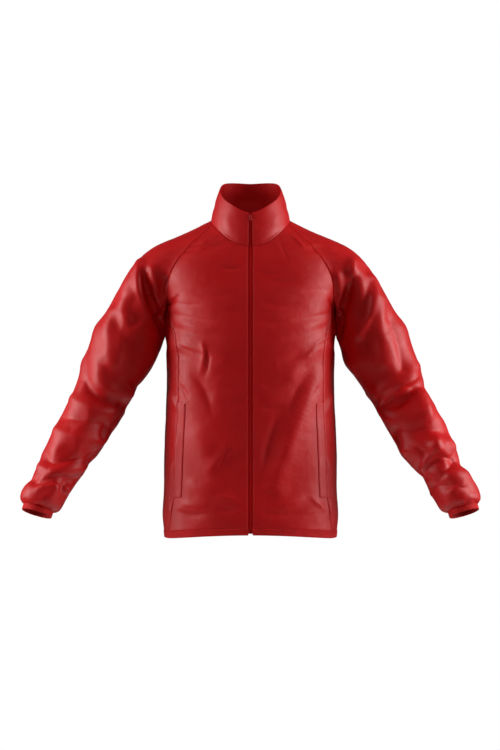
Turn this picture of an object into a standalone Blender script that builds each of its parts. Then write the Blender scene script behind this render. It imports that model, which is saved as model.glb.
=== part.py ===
"""Rain jacket, men's medium, zipped up and filled out as it is when worn.

Raglan sleeves cut in a front and a back, stand collar, side panels, long pocket welts, and narrow
elastic binding at the hem and the cuffs.
The origin is the middle of the neck, level with the top of the shoulders. +X is the wearer's left, and
-Y is the front. The whole garment is one surface, worked out from sections, and each cut piece is a wall
made from its share of it.
"""

import math

import bmesh
import bpy
import numpy as np
from mathutils import Matrix

MM = 0.001

# Sizes in millimetres.
WALL = 1.6
COLLAR_WALL = 2.4
BINDING_WALL = 2.6
WELT_WALL = 1.4
SEAM_GAP = 0.3
ZIP_HALF_GAP = 5.6
CUFF_LENGTH = 12.0
BODY_POWER = 2.3
SLEEVE_POWER = 2.15
COLLAR_POWER = 2.1
COLLAR_BULGE = 2.5
TAPE_WALL = 1.0
TAPE_GAP = 0.6
TAPE_EDGE = 0.35
TAPE_OVERLAP = 0.32
COIL_HALF_WIDTH = 2.9
COIL_HEIGHT = 1.7
TAPE_TOP_MARGIN = 1.5
TAPE_END_MARGIN = 2.5
SLIDER_Z = 7.5
SLIDER_DEPTH = 2.8
SLIDER_HALF_HEIGHT = 4.5
ARCH_HALF_WIDTH = 0.9
ARCH_RADIUS = 2.5
ARCH_HOLLOW = 1.5
ARCH_FOOT = 0.4
CROSSBAR_RADIUS = 0.7
TAB_AXIS_OUT = 4.7
TAB_WALL = 1.2
TAB_HALF_WIDTH = 2.6
TAB_LENGTH = 12.5
TAB_OPENING = 3.1
TAB_HEAD = 1.0
TAB_PLAY = 0.4

# How finely the surface is divided. Rows are counted down to each section, in the tables below. A curve is
# read at so many points before it is divided, and a round of the slider has so many steps in half a turn.
CURVE_POINTS = 90
HALF_TURN_STEPS = 8
CROSSBAR_SIDES = 12
FRONT_COLUMNS = 7
BACK_HALF_COLUMNS = 7
SLEEVE_TOP_COLUMNS = 18
UNDERARM_COLUMNS = 7
COLLAR_ROWS = 4
SLEEVE_SEAM_COLUMN = 9
UNDERARM_SEAM_COLUMN = 4

# Sections of the yoke, from the neck seam down to the armpit. Each runs round half the garment, over the
# sleeve. At the raglan seams the sleeve starts off the way the front and the back end, for a guide's reach.
GUIDE_REACH = 0.25
GUIDE_POINTS = 12
YOKE_COLUMNS = (
    "rows front_y front_z raglan_x raglan_y raglan_z crest_x crest_y crest_z over_x over_y over_z "
    "back_crest_x back_crest_y back_crest_z back_raglan_x back_raglan_y back_raglan_z back_y back_z"
).split()
YOKE = (
    (0, -86, -60, 84, -24, -8, 87, -11, -2, 88, 2, 2, 87, 15, 5, 82, 29, 9, 70, 16),
    (2, -97, -80, 111, -48, -33, 125, -27, -25, 135, 4, -21, 124, 34, -19, 108, 58, -18, 86, -20),
    (2, -108, -104, 138, -65, -60, 166, -43, -49, 185, 6, -42, 165, 56, -45, 136, 84, -51, 106, -58),
    (2, -118, -130, 163, -74, -94, 207, -57, -82, 236, 8, -69, 205, 72, -78, 160, 96, -90, 121, -97),
    (2, -126, -152, 180, -72, -130, 238, -68, -124, 273, 6, -113, 238, 80, -122, 178, 90, -130, 129, -136),
    (2, -131, -172, 184, -58, -168, 252, -74, -168, 301, 2, -160, 253, 80, -168, 186, 66, -168, 132, -170),
)

# Sections of the body below the armpit, down to the lower edge of the hem binding.
BODY_COLUMNS = "rows z front_z half_width front back seam_x back_seam_x".split()
BODY = (
    (2, -212, -212, 188, 134, 131, 178, 172),
    (2, -266, -266, 187, 137, 126, 164, 166),
    (3, -335, -335, 185, 133, 118, 160, 163),
    (3, -406, -406, 188, 127, 111, 160, 164),
    (3, -480, -479, 192, 123, 108, 164, 166),
    (3, -550, -547, 194, 123, 110, 167, 168),
    (3, -616, -610, 195, 126, 115, 170, 170),
    (1, -655, -647, 197, 128, 119, 175, 173),
    (1, -693, -681, 194, 127, 120, 181, 177),
    (1, -706, -694, 193, 126, 120, 181, 177),
)
WELT_TOP_Z = -406
WELT_BOTTOM_Z = -616

# Sections of the sleeve below the armpit: centre, half sizes, and the angles that the sleeve leans outwards
# and forwards there.
SLEEVE_COLUMNS = "rows x y z half_width half_depth tilt lean".split()
SLEEVE = (
    (3, 259, 2, -222, 68, 76, 16, 2),
    (4, 285, -2, -288, 74, 73, 20, 4),
    (4, 316, -8, -350, 67, 67, 23, 9),
    (4, 344, -18, -410, 60, 62, 26, 13),
    (4, 374, -31, -466, 58, 58, 28, 15),
    (4, 406, -46, -523, 53, 54, 28, 16),
    (4, 436, -61, -575, 46, 50, 27, 16),
    (3, 459, -72, -613, 48, 50, 20, 15),
    (1, 466, -76, -631, 44, 45, 16, 15),
    (1, 469, -78, -638, 33, 33, 16, 15),
)
UNDERARM_POINT = (194, 4, -202)
UNDERARM_ANGLE = 140.0

# The collar's top edge round half the neck, by its angle from the front, about the middle of the neck.
COLLAR_TOP_COLUMNS = "angle height".split()
COLLAR_TOP = (
    (0, 14.5),
    (11, 17),
    (25, 25.5),
    (40, 35.5),
    (52, 43),
    (64, 51.5),
    (80, 64),
    (95, 73.5),
    (107, 81),
    (118, 86.5),
    (132, 90),
    (180, 90.5),
)
COLLAR_CENTRE_Y = -8
COLLAR_TOP_HALF_WIDTH = 68.5
COLLAR_TOP_FRONT = 72
COLLAR_TOP_BACK = 66

# The outlines of the coil, in shares of its half width and height, and of the slider's body.
COIL_SHAPE = ((-1, 0), (-0.75, 0.85), (-0.3, 1), (0.3, 1), (0.75, 0.85), (1, 0))
SLIDER_OUTLINE = (
    (-3.2, -4.5),
    (3.2, -4.5),
    (4.5, 0.6),
    (4.5, 3.0),
    (2.8, 4.5),
    (-2.8, 4.5),
    (-4.5, 3.0),
    (-4.5, 0.6),
)

# Each kind of part by the start of its name: its colour (linear), roughness and metallic share. An edge
# sharper than the rim's angle stays sharp where the rest is shaded smooth.
RIM_ANGLE = math.radians(40)
LOOKS = {
    "zip_slider": ((0.3, 0.012, 0.014), 0.35, 0.6),
    "zip_pull_tab": ((0.3, 0.012, 0.014), 0.35, 0.6),
    "zip_tape": ((0.24, 0.009, 0.011), 0.8, 0.0),
    "zip_coil": ((0.3, 0.012, 0.014), 0.45, 0.0),
    "cuff": ((0.33, 0.012, 0.015), 0.7, 0.0),
    "hem_band": ((0.33, 0.012, 0.015), 0.7, 0.0),
    "": ((0.36, 0.012, 0.015), 0.55, 0.0),
}

# The largest folds. Each is a stroke through three points, as seen from the angle in its first column: 0 is
# from the front, 90 from the wearer's left. Width is half the fold's width, and height is outwards, or
# inwards below 0. A fold fades out on the faces that turn away from its view.
FADE_START = -0.05
FADE_LENGTH = 0.45
FOLD_COLUMNS = "view x0 z0 x1 z1 x2 z2 width height".split()
BODY_FOLDS = (
    (0, -172, -275, -120, -290, -60, -310, 16, 3.5),
    (0, 172, -275, 130, -300, 90, -345, 15, 3.5),
    (0, -150, -300, -120, -330, -95, -380, 18, -3),
    (0, -110, -470, -95, -520, -80, -570, 26, 4),
    (0, 150, -350, 110, -460, 60, -590, 22, 4),
    (0, 120, -330, 70, -430, 50, -520, 24, -3.5),
    (180, -150, -150, -100, -210, -70, -290, 22, 4),
    (180, 150, -160, 105, -205, 60, -300, 22, 4.5),
    (180, -130, -380, -20, -400, 110, -392, 20, 4),
    (180, -140, -440, -40, -455, 90, -430, 18, -3.5),
    (180, -60, -500, -40, -570, -50, -640, 26, 4),
    (180, 100, -480, 80, -560, 90, -650, 24, 3.5),
    (90, -20, -300, 0, -340, 30, -420, 14, 3),
    (-90, -25, -300, 0, -350, 20, -430, 14, 3),
)
SLEEVE_FOLDS = (
    (0, -238, -125, -220, -185, -185, -262, 11, -17),
    (0, -247, -94, -245, -145, -223, -211, 11, 8),
    (0, -218, -112, -209, -152, -192, -191, 10, 6),
    (0, -185, -132, -198, -152, -200, -180, 7, -8),
    (0, -265, -116, -287, -171, -274, -218, 12, 7),
    (0, -278, -218, -267, -245, -243, -236, 12, 7),
    (0, -291, -169, -302, -205, -280, -245, 12, -7),
    (0, -251, -174, -265, -196, -249, -222, 11, -6),
    (0, -307, -205, -313, -256, -307, -315, 15, 8),
    (0, -366, -318, -356, -376, -289, -408, 18, -12),
    (0, -333, -338, -320, -369, -280, -382, 18, 9),
    (0, -400, -395, -356, -415, -285, -424, 15, 8),
    (0, -420, -437, -382, -441, -320, -455, 14, -11),
    (0, -431, -466, -387, -482, -316, -488, 15, 9),
    (0, -450, -519, -422, -539, -351, -515, 13, -11),
    (0, -466, -546, -426, -555, -360, -548, 14, 9),
    (0, -476, -577, -444, -583, -384, -572, 12, -10),
    (0, 225, -129, 212, -185, 194, -253, 11, -17),
    (0, 227, -94, 223, -145, 209, -211, 11, 8),
    (0, 192, -123, 200, -156, 200, -189, 10, 6),
    (0, 260, -107, 269, -160, 256, -205, 12, -8),
    (0, 274, -123, 276, -167, 238, -256, 11, 8),
    (0, 267, -222, 256, -251, 260, -278, 12, -6),
    (0, 289, -178, 287, -233, 296, -315, 16, 8),
    (0, 309, -222, 327, -278, 336, -329, 14, -6),
    (0, 373, -324, 336, -351, 287, -382, 16, 10),
    (0, 372, -364, 338, -393, 282, -412, 18, -11),
    (0, 398, -417, 358, -435, 296, -435, 18, 8),
    (0, 427, -471, 393, -466, 322, -471, 14, -9),
    (0, 451, -500, 411, -497, 344, -504, 15, 9),
    (0, 454, -530, 420, -526, 384, -555, 13, -10),
    (0, 482, -560, 437, -564, 384, -564, 15, 8),
    (0, 492, -597, 446, -586, 406, -590, 11, -9),
    (180, -330, -330, -360, -372, -300, -400, 18, -10),
    (180, -340, -420, -395, -440, -420, -430, 15, -9),
    (180, -350, -455, -400, -475, -430, -468, 15, 8),
    (180, -370, -505, -420, -520, -455, -515, 13, -9),
    (180, -400, -545, -440, -560, -475, -552, 14, 7),
    (180, -230, -130, -215, -190, -200, -250, 14, -10),
    (180, -270, -120, -285, -180, -270, -240, 14, 7),
    (180, 225, -125, 214, -180, 198, -255, 14, -10),
    (180, 268, -110, 280, -170, 262, -245, 13, 7),
    (180, 385, -318, 340, -355, 290, -375, 17, 8),
    (180, 388, -352, 345, -385, 296, -410, 17, -10),
    (180, 430, -460, 385, -455, 340, -470, 14, -9),
    (180, 445, -495, 400, -490, 350, -505, 15, 8),
    (180, 462, -535, 420, -532, 380, -545, 13, -9),
    (90, 30, -358, -20, -374, -75, -366, 13, -7),
    (90, 40, -430, -20, -452, -80, -430, 15, 4),
    (90, 20, -534, -40, -545, -95, -530, 13, -8),
    (-90, 55, -305, -5, -316, -70, -308, 20, 7),
    (-90, 30, -508, -30, -520, -90, -508, 16, 5),
    (-90, 15, -560, -45, -574, -100, -566, 13, -9),
)


def table(columns, rows):
    """The named columns of a table, each as an array."""
    return dict(zip(columns, np.array(rows, float).T))


def smooth_curve(knots, points, at):
    """A natural cubic spline through points at the knots, read at other places."""
    count = len(knots)
    step = np.diff(knots)
    flat = points.reshape(count, -1)
    left = np.eye(count)
    right = np.zeros_like(flat)
    for i in range(1, count - 1):
        left[i, i - 1 : i + 2] = step[i - 1], 2 * (step[i - 1] + step[i]), step[i]
        slope_after = (flat[i + 1] - flat[i]) / step[i]
        slope_before = (flat[i] - flat[i - 1]) / step[i - 1]
        right[i] = 6 * (slope_after - slope_before)
    bend = np.linalg.solve(left, right)
    at = np.asarray(at, float)
    i = np.clip(np.searchsorted(knots, at, side="right") - 1, 0, count - 2)
    h = step[i][:, None]
    a = (knots[i + 1] - at)[:, None] / h
    b = 1 - a
    value = a * flat[i] + b * flat[i + 1] + ((a**3 - a) * bend[i] + (b**3 - b) * bend[i + 1]) * h**2 / 6
    return value.reshape((len(at),) + points.shape[1:])


def lengths_along(points):
    """The distance of each point along the line."""
    return np.concatenate([[0], np.cumsum(np.linalg.norm(np.diff(points, axis=0), axis=1))])


def evenly(points, columns):
    """The line divided into equal steps."""
    along = lengths_along(points)
    wanted = np.linspace(0, along[-1], columns + 1)
    return np.stack([np.interp(wanted, along, points[:, k]) for k in range(3)], axis=1)


def centre_arc(x_from, seam, depth, centre_z):
    """From near the centre line to the seam point, on the superellipse that meets both."""
    seam_x, seam_y, seam_z = seam
    half_width = seam_x / (1 - abs(seam_y / depth) ** BODY_POWER) ** (1 / BODY_POWER)
    x = x_from + (seam_x - x_from) * np.sin(np.linspace(0, math.pi / 2, CURVE_POINTS))
    y = depth * (1 - (x / half_width) ** BODY_POWER) ** (1 / BODY_POWER)
    z = centre_z + (seam_z - centre_z) * (x / seam_x) ** 2
    return np.stack([x, y, z], axis=1)


def yoke_section(s):
    """One yoke section, from the front round to the back: front arc, arc over the sleeve and back arc."""
    raglan = np.array([s["raglan_x"], s["raglan_y"], s["raglan_z"]])
    back_raglan = np.array([s["back_raglan_x"], s["back_raglan_y"], s["back_raglan_z"]])
    front = centre_arc(ZIP_HALF_GAP, raglan, s["front_y"], s["front_z"])
    back = centre_arc(0, back_raglan, s["back_y"], s["back_z"])[::-1]
    names = ("crest", "over", "back_crest")
    middle = [np.array([s[n + "_x"], s[n + "_y"], s[n + "_z"]]) for n in names]
    reach = GUIDE_REACH * np.linalg.norm(middle[1] - raglan)
    into_front = front[-GUIDE_POINTS] - front[-1]
    into_back = back[GUIDE_POINTS - 1] - back[0]
    before = front[-1] + into_front / np.linalg.norm(into_front) * reach
    after = back[0] + into_back / np.linalg.norm(into_back) * reach
    guide = np.array([before, raglan, *middle, back_raglan, after])
    along = lengths_along(guide)
    over = smooth_curve(along, guide, np.linspace(along[1], along[-2], CURVE_POINTS))
    return (
        evenly(front, FRONT_COLUMNS),
        evenly(over, SLEEVE_TOP_COLUMNS),
        evenly(back, BACK_HALF_COLUMNS),
    )


def body_section(s):
    """One body section: its front, side panel and back arcs, from the front round to the back."""
    parts = []
    halves = ((-s["front"], s["seam_x"], s["front_z"]), (s["back"], s["back_seam_x"], s["z"]))
    for depth, seam_x, centre_z in halves:
        seam_y = depth * (1 - (seam_x / s["half_width"]) ** BODY_POWER) ** (1 / BODY_POWER)
        seam_angle = math.asin((seam_x / s["half_width"]) ** (BODY_POWER / 2))
        theta = np.linspace(seam_angle, math.pi / 2, CURVE_POINTS)
        side = np.stack(
            [
                s["half_width"] * np.sin(theta) ** (2 / BODY_POWER),
                depth * np.maximum(np.cos(theta), 0) ** (2 / BODY_POWER),
                np.full(CURVE_POINTS, s["z"]),
            ],
            axis=1,
        )
        start = ZIP_HALF_GAP if depth < 0 else 0
        parts.append((centre_arc(start, (seam_x, seam_y, s["z"]), depth, centre_z), side))
    (front, front_side), (back, back_side) = parts
    side = np.concatenate([front_side, back_side[::-1][1:]])
    return (
        evenly(front, FRONT_COLUMNS),
        evenly(side, UNDERARM_COLUMNS),
        evenly(back[::-1], BACK_HALF_COLUMNS),
    )


def sleeve_directions(s):
    """Outwards, forwards and along the sleeve, for a section's tilt and lean."""
    tilt, lean = math.radians(s["tilt"]), math.radians(s["lean"])
    out = np.array([math.cos(tilt), 0, math.sin(tilt)])
    level = math.cos(lean)
    along = np.array([math.sin(tilt) * level, -math.sin(lean), -math.cos(tilt) * level])
    return out, np.cross(along, out), along


def sleeve_section(s):
    """One ring of the sleeve: the arc over the arm, from the front to the back, and the arc under it."""
    out, forward, _ = sleeve_directions(s)
    centre = np.array([s["x"], s["y"], s["z"]])

    def ring(start, end, columns):
        phi = np.radians(np.linspace(start, end, CURVE_POINTS))
        c, d = np.cos(phi), np.sin(phi)
        c = np.sign(c) * np.abs(c) ** (2 / SLEEVE_POWER)
        d = np.sign(d) * np.abs(d) ** (2 / SLEEVE_POWER)
        points = centre + np.outer(s["half_width"] * c, out) + np.outer(s["half_depth"] * d, forward)
        return evenly(points, columns)

    over = ring(UNDERARM_ANGLE, -UNDERARM_ANGLE, SLEEVE_TOP_COLUMNS)
    under = ring(UNDERARM_ANGLE, 360 - UNDERARM_ANGLE, UNDERARM_COLUMNS)
    return over, under


def through_sections(sections, rows):
    """A grid through the sections, with so many rows from each section to the next."""
    control = np.array(sections)
    knots = np.mean([lengths_along(control[:, j]) for j in range(control.shape[1])], axis=0)
    at = [knots[0]]
    for i, count in enumerate(rows):
        at.extend(np.linspace(knots[i], knots[i + 1], int(count) + 1)[1:])
    return smooth_curve(knots, control, at)


def match_edge(grid, column, edge, reach=3):
    """Moves a grid's edge column onto its neighbour's edge, and the next columns part of the way."""
    change = edge - grid[:, column]
    inward = 1 if column == 0 else -1
    for j in range(reach):
        grid[:, column + inward * j] += change * (1 - j / reach)
    grid[:, column] = edge


def half_garment():
    """The grids of the wearer's left half: front, back, side panel, and sleeve over and under the arm."""
    yoke = table(YOKE_COLUMNS, YOKE)
    body = table(BODY_COLUMNS, BODY)
    sleeve = table(SLEEVE_COLUMNS, SLEEVE)

    def row(columns, i):
        return {name: values[i] for name, values in columns.items()}

    yoke_parts = [yoke_section(row(yoke, i)) for i in range(len(YOKE))]
    body_parts = [body_section(row(body, i)) for i in range(len(BODY))]
    sleeve_parts = [sleeve_section(row(sleeve, i)) for i in range(len(SLEEVE))]
    body_rows = [*yoke["rows"][1:], *body["rows"]]
    sleeve_rows = [*yoke["rows"][1:], *sleeve["rows"]]
    front = through_sections([p[0] for p in yoke_parts] + [p[0] for p in body_parts], body_rows)
    back = through_sections([p[2] for p in yoke_parts] + [p[2] for p in body_parts], body_rows)
    over = through_sections([p[1] for p in yoke_parts] + [p[0] for p in sleeve_parts], sleeve_rows)
    armpit = int(yoke["rows"].sum())
    match_edge(over[: armpit + 1], 0, front[: armpit + 1, -1])
    match_edge(over[: armpit + 1], -1, back[: armpit + 1, 0])
    guide = np.array([front[armpit, -1], UNDERARM_POINT, back[armpit, 0]], float)
    along = lengths_along(guide)
    pit = evenly(smooth_curve(along, guide, np.linspace(0, along[-1], CURVE_POINTS)), UNDERARM_COLUMNS)
    pit[0], pit[-1] = front[armpit, -1], back[armpit, 0]
    back[:, -1, 0] = 0
    side = through_sections([pit] + [p[1] for p in body_parts], body["rows"])
    match_edge(side, 0, front[armpit:, -1], reach=2)
    match_edge(side, -1, back[armpit:, 0], reach=2)
    side[0] = pit
    under = through_sections([pit] + [p[1] for p in sleeve_parts], sleeve["rows"])
    match_edge(under, 0, over[armpit:, 0], reach=2)
    match_edge(under, -1, over[armpit:, -1], reach=2)
    under[0] = pit
    return {"front": front, "back": back, "side": side, "over": over, "under": under}


def collar_grid(neck):
    """The collar, from the neck seam up to its top edge, with a column for each point of the neck seam."""
    angle = np.arctan2(neck[:, 0], COLLAR_CENTRE_Y - neck[:, 1])
    top = table(COLLAR_TOP_COLUMNS, COLLAR_TOP)
    height = smooth_curve(np.radians(top["angle"]), top["height"], angle)
    across, along = np.sin(angle), np.cos(angle)
    depth = np.where(along > 0, COLLAR_TOP_FRONT, COLLAR_TOP_BACK)
    x = COLLAR_TOP_HALF_WIDTH * np.abs(across) ** (2 / COLLAR_POWER)
    y = COLLAR_CENTRE_Y - np.sign(along) * depth * np.abs(along) ** (2 / COLLAR_POWER)
    edge = np.stack([x, y, height], axis=1)
    out = np.stack([across, -along, np.zeros_like(along)], axis=1)
    rows = []
    for t in np.linspace(0, 1, COLLAR_ROWS + 1):
        rows.append(neck * (1 - t) + edge * t + out * COLLAR_BULGE * math.sin(math.pi * t))
    grid = np.array(rows)
    grid[0] = neck
    grid[:, 0, 0] = ZIP_HALF_GAP
    grid[:, -1, 0] = 0
    return grid


def cuff_grid(over_end, under_end):
    """The cuff binding: a ring from the end of the sleeve, along the sleeve's last direction."""
    last = dict(zip(SLEEVE_COLUMNS, SLEEVE[-1]))
    _, _, along = sleeve_directions(last)
    ring = np.concatenate([over_end, under_end[::-1][1:]])
    return np.array([ring, ring + along * CUFF_LENGTH])


def weld(half):
    """Both halves as one set of points, and each grid as rows of point numbers. Seams share points."""
    stacked, places, start = [], {}, 0
    for name, grid in half.items():
        for side, sign in (("left", 1), ("right", -1)):
            stacked.append((grid * (sign, 1, 1)).reshape(-1, 3))
            places[f"{name}_{side}"] = (start, grid.shape[:2])
            start += grid.shape[0] * grid.shape[1]
    stacked = np.round(np.concatenate(stacked), 3) + 0.0
    points, numbers = np.unique(stacked, axis=0, return_inverse=True)
    numbers = numbers.reshape(-1)
    ids = {}
    for name, (first, shape) in places.items():
        ids[name] = numbers[first : first + shape[0] * shape[1]].reshape(shape)
    return points, ids


def cells(ids, name, rows=None, columns=None):
    """The faces of a grid, or of some of its rows and columns, all facing out of the garment."""
    grid = ids[name][rows or slice(None), columns or slice(None)]
    corners = [grid[:-1, :-1], grid[1:, :-1], grid[1:, 1:], grid[:-1, 1:]]
    faces = np.stack([c.reshape(-1) for c in corners], axis=1)
    inward = name.startswith(("under", "collar")) != name.endswith("right")
    return faces[:, ::-1] if inward else faces


def normals_of(points, faces):
    """A normal for each point, from the faces round it."""
    across = points[faces[:, 2]] - points[faces[:, 0]]
    down = points[faces[:, 3]] - points[faces[:, 1]]
    face_normals = np.cross(across, down)
    total = np.zeros_like(points)
    for k in range(4):
        np.add.at(total, faces[:, k], face_normals)
    return total / np.maximum(np.linalg.norm(total, axis=1, keepdims=True), 1e-9)


def distance_to_stroke(u, v, stroke):
    """Each point's distance, in a view, from a curve through three points."""
    t = np.linspace(0, 1, CURVE_POINTS)
    shares = np.stack([(1 - t) * (1 - 2 * t), 4 * t * (1 - t), t * (2 * t - 1)], axis=1)
    line = shares @ stroke
    gap = np.hypot(u[:, None] - line[:, 0], v[:, None] - line[:, 1])
    return gap.min(axis=1)


def fold(points, normals, rows, chosen):
    """Moves the chosen points out or in along their normals, for each fold in the table."""
    moved = points.copy()
    for row in rows:
        f = dict(zip(FOLD_COLUMNS, row))
        view = math.radians(f["view"])
        toward = np.array([math.sin(view), -math.cos(view), 0])
        across = np.array([abs(math.cos(view)), abs(math.sin(view)), 0])
        stroke = np.array([(f["x0"], f["z0"]), (f["x1"], f["z1"]), (f["x2"], f["z2"])], float)
        distance = distance_to_stroke(points @ across, points[:, 2], stroke)
        facing = np.clip((normals @ toward - FADE_START) / FADE_LENGTH, 0, 1)
        facing = facing * facing * (3 - 2 * facing)
        size = f["height"] * np.exp(-((distance / f["width"]) ** 2)) * facing
        moved += np.where(chosen, size, 0)[:, None] * normals
    return moved


def garment():
    """The whole surface with its folds: its points, and its grids of point numbers."""
    half = half_garment()
    neck = np.concatenate([half["front"][0], half["over"][0][1:], half["back"][0][1:]])
    half["collar"] = collar_grid(neck)
    half["cuff"] = cuff_grid(half["over"][-1], half["under"][-1])
    points, ids = weld(half)
    faces = np.concatenate([cells(ids, name) for name in ids])
    normals = normals_of(points, faces)
    still = np.zeros(len(points), bool)
    for name, grid in ids.items():
        if name.startswith(("collar", "cuff")):
            still[grid] = True
        if name.startswith("front"):
            still[grid[:, 0]] = True
            still[grid[-2:]] = True
        if name.startswith(("back", "side")):
            still[grid[-2:]] = True
    for starts, table_rows in ((("front", "back", "side"), BODY_FOLDS), (("over", "under"), SLEEVE_FOLDS)):
        chosen = np.zeros(len(points), bool)
        for name, grid in ids.items():
            if name.startswith(starts):
                chosen[grid] = True
        points = fold(points, normals, table_rows, chosen & ~still)
    return points, ids


def inset(points, normals, faces, distance):
    """The points, with those on the border of the faces moved in by the distance."""
    edges = [edge for face in faces for edge in zip(face, face[1:] + face[:1])]
    known = set(edges)
    border = [edge for edge in edges if edge[::-1] not in known]
    inward = {}
    for a, b in border:
        tangent = points[b] - points[a]
        for end in (a, b):
            away = np.cross(normals[end], tangent)
            inward.setdefault(end, []).append(away / np.linalg.norm(away))
    moved = points.copy()
    for end, ways in inward.items():
        first, last = ways[0], ways[-1]
        moved[end] += distance * (first + last) / max(1 + float(first @ last), 0.5)
    return moved, border


def wall(name, points, normals, faces, thickness, lift=0.0):
    """A solid wall of even thickness on part of the surface, half a seam gap inside that part's border."""
    faces = [tuple(int(i) for i in face) for face in faces]
    placed, border = inset(points, normals, faces, SEAM_GAP / 2)
    used = sorted({i for face in faces for i in face})
    number = {i: n for n, i in enumerate(used)}
    middle = placed[used] + normals[used] * lift
    outer, inner = middle + normals[used] * thickness / 2, middle - normals[used] * thickness / 2
    triangles = []
    for face in faces:
        a, b, c, d = face
        short = np.linalg.norm(placed[a] - placed[c]) <= np.linalg.norm(placed[b] - placed[d])
        triangles += [(a, b, c), (a, c, d)] if short else [(a, b, d), (b, c, d)]
    count = len(used)
    solid = [tuple(number[i] for i in t) for t in triangles]
    solid += [tuple(number[i] + count for i in reversed(t)) for t in triangles]
    for a, b in border:
        p, q = number[a], number[b]
        if a < b:
            solid += [(q, p, q + count), (p, p + count, q + count)]
        else:
            solid += [(q, p, p + count), (q, p + count, q + count)]
    return make_object(name, np.concatenate([outer, inner]), solid)


def make_object(name, points, faces):
    """A mesh object from points in millimetres."""
    mesh = bpy.data.meshes.new(name)
    mesh.from_pydata((np.asarray(points) * MM).tolist(), [], [tuple(f) for f in faces])
    mesh.validate()
    obj = bpy.data.objects.new(name, mesh)
    bpy.context.scene.collection.objects.link(obj)
    return obj


def face_out(obj):
    """Turns every face of a closed solid to face out."""
    bm = bmesh.new()
    bm.from_mesh(obj.data)
    bmesh.ops.recalc_face_normals(bm, faces=bm.faces)
    bm.to_mesh(obj.data)
    bm.free()


def pocket_welt(points, normals, ids, side):
    """A pocket's welt, along the side seam. It lies on the front panel's own faces, moved out."""
    grid = ids[f"front_{side}"]
    heights = np.array([points[i, 2] for i in grid[:, -1]])
    first = int(np.abs(heights - WELT_TOP_Z).argmin())
    last = int(np.abs(heights - WELT_BOTTOM_Z).argmin())
    faces = cells(ids, f"front_{side}", slice(first, last + 1), slice(-2, None))
    lift = WALL / 2 + SEAM_GAP + WELT_WALL / 2
    return wall(f"pocket_welt_{side}", points, normals, faces, WELT_WALL, lift)


def beside_zip(points, ids, side, column):
    """A column of points beside the zip, from the collar's top down to the hem. Column 0 is the edge."""
    rows = (ids[f"collar_{side}"][::-1, column], ids[f"front_{side}"][1:, column])
    return points[np.concatenate(rows)]


def zip_path(points, ids):
    """The zip's line from the collar's top down to the hem, on the surface, and half the wall there."""
    middle = (beside_zip(points, ids, "left", 0) + beside_zip(points, ids, "right", 0)) / 2
    middle[:, 0] = 0
    half_wall = np.full(len(middle), WALL / 2)
    half_wall[: COLLAR_ROWS + 1] = COLLAR_WALL / 2
    half_wall[-2:] = BINDING_WALL / 2
    return middle, half_wall


def path_normals(middle):
    """The outward normal at each point of a line that runs down the front, in the plane x = 0."""
    down = np.gradient(middle, axis=0)
    out = np.stack([np.zeros(len(middle)), down[:, 2], -down[:, 1]], axis=1)
    return out / np.linalg.norm(out, axis=1, keepdims=True)


def trimmed(line, start, end):
    """A line of points, shortened by a distance at each end. Its other columns are carried along."""
    along = lengths_along(line[:, :3])
    keep = (along > start + 1) & (along < along[-1] - end - 1)
    at = np.concatenate([[start], along[keep], [along[-1] - end]])
    return np.stack([np.interp(at, along, line[:, k]) for k in range(line.shape[1])], axis=1)


def swept(name, sections):
    """A solid from a row of closed sections, each with as many points, running round the same way."""
    sections = np.asarray(sections)
    rows, count = sections.shape[:2]
    faces = [tuple(range(count))[::-1], tuple((rows - 1) * count + c for c in range(count))]
    for r in range(rows - 1):
        for c in range(count):
            a, b = r * count + c, r * count + (c + 1) % count
            faces.append((a, b, b + count, a + count))
    obj = make_object(name, sections.reshape(-1, 3), faces)
    face_out(obj)
    return obj


def zip_tape(points, ids, side):
    """One zip tape, behind the front's edge, from just under the collar's top to just above the hem."""
    sign = 1 if side == "left" else -1
    middle, half_wall = zip_path(points, ids)
    edge = middle + (sign * ZIP_HALF_GAP, 0, 0)
    under_front = edge + (beside_zip(points, ids, side, 1) - edge) * TAPE_OVERLAP
    lines = (middle + (sign * TAPE_EDGE, 0, 0), edge, under_front)
    out = path_normals(middle)
    depth = (half_wall + TAPE_GAP + TAPE_WALL / 2)[:, None]
    columns = []
    for line in lines:
        columns.append(trimmed(np.hstack([line - out * depth, out]), TAPE_TOP_MARGIN, TAPE_END_MARGIN))
    sections = []
    for r in range(min(len(c) for c in columns)):
        front = [c[r, :3] + c[r, 3:] * TAPE_WALL / 2 for c in columns]
        back = [c[r, :3] - c[r, 3:] * TAPE_WALL / 2 for c in columns]
        sections.append(front + back[::-1])
    return swept(f"zip_tape_{side}", sections)


def slider_frame(points, ids):
    """Where the slider sits: its point on the tapes, and the directions up the zip and out of it."""
    middle, half_wall = zip_path(points, ids)
    rows = np.hstack([middle, path_normals(middle), half_wall[:, None]])[::-1]
    place = np.array([np.interp(SLIDER_Z, rows[:, 2], rows[:, k]) for k in range(7)])
    outward = place[3:6] / np.linalg.norm(place[3:6])
    return place[:3] - outward * place[6], np.cross(outward, (1, 0, 0)), outward


def zip_coil(points, ids):
    """The closed coil: a low rounded bar on the tapes, from the hem up to the slider."""
    middle, half_wall = zip_path(points, ids)
    out = path_normals(middle)
    base = middle - out * half_wall[:, None]
    place, _, _ = slider_frame(points, ids)
    slider_at = float(np.interp(-place[2], -base[:, 2], lengths_along(base)))
    line = trimmed(np.hstack([base, out]), slider_at + SLIDER_HALF_HEIGHT + SEAM_GAP, TAPE_END_MARGIN)
    across = np.array([COIL_HALF_WIDTH, 0, 0])
    sections = []
    for row in line:
        at, away = row[:3], row[3:] / np.linalg.norm(row[3:]) * COIL_HEIGHT
        sections.append([at + u * across + v * away for u, v in COIL_SHAPE])
    return swept("zip_coil", sections)


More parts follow.
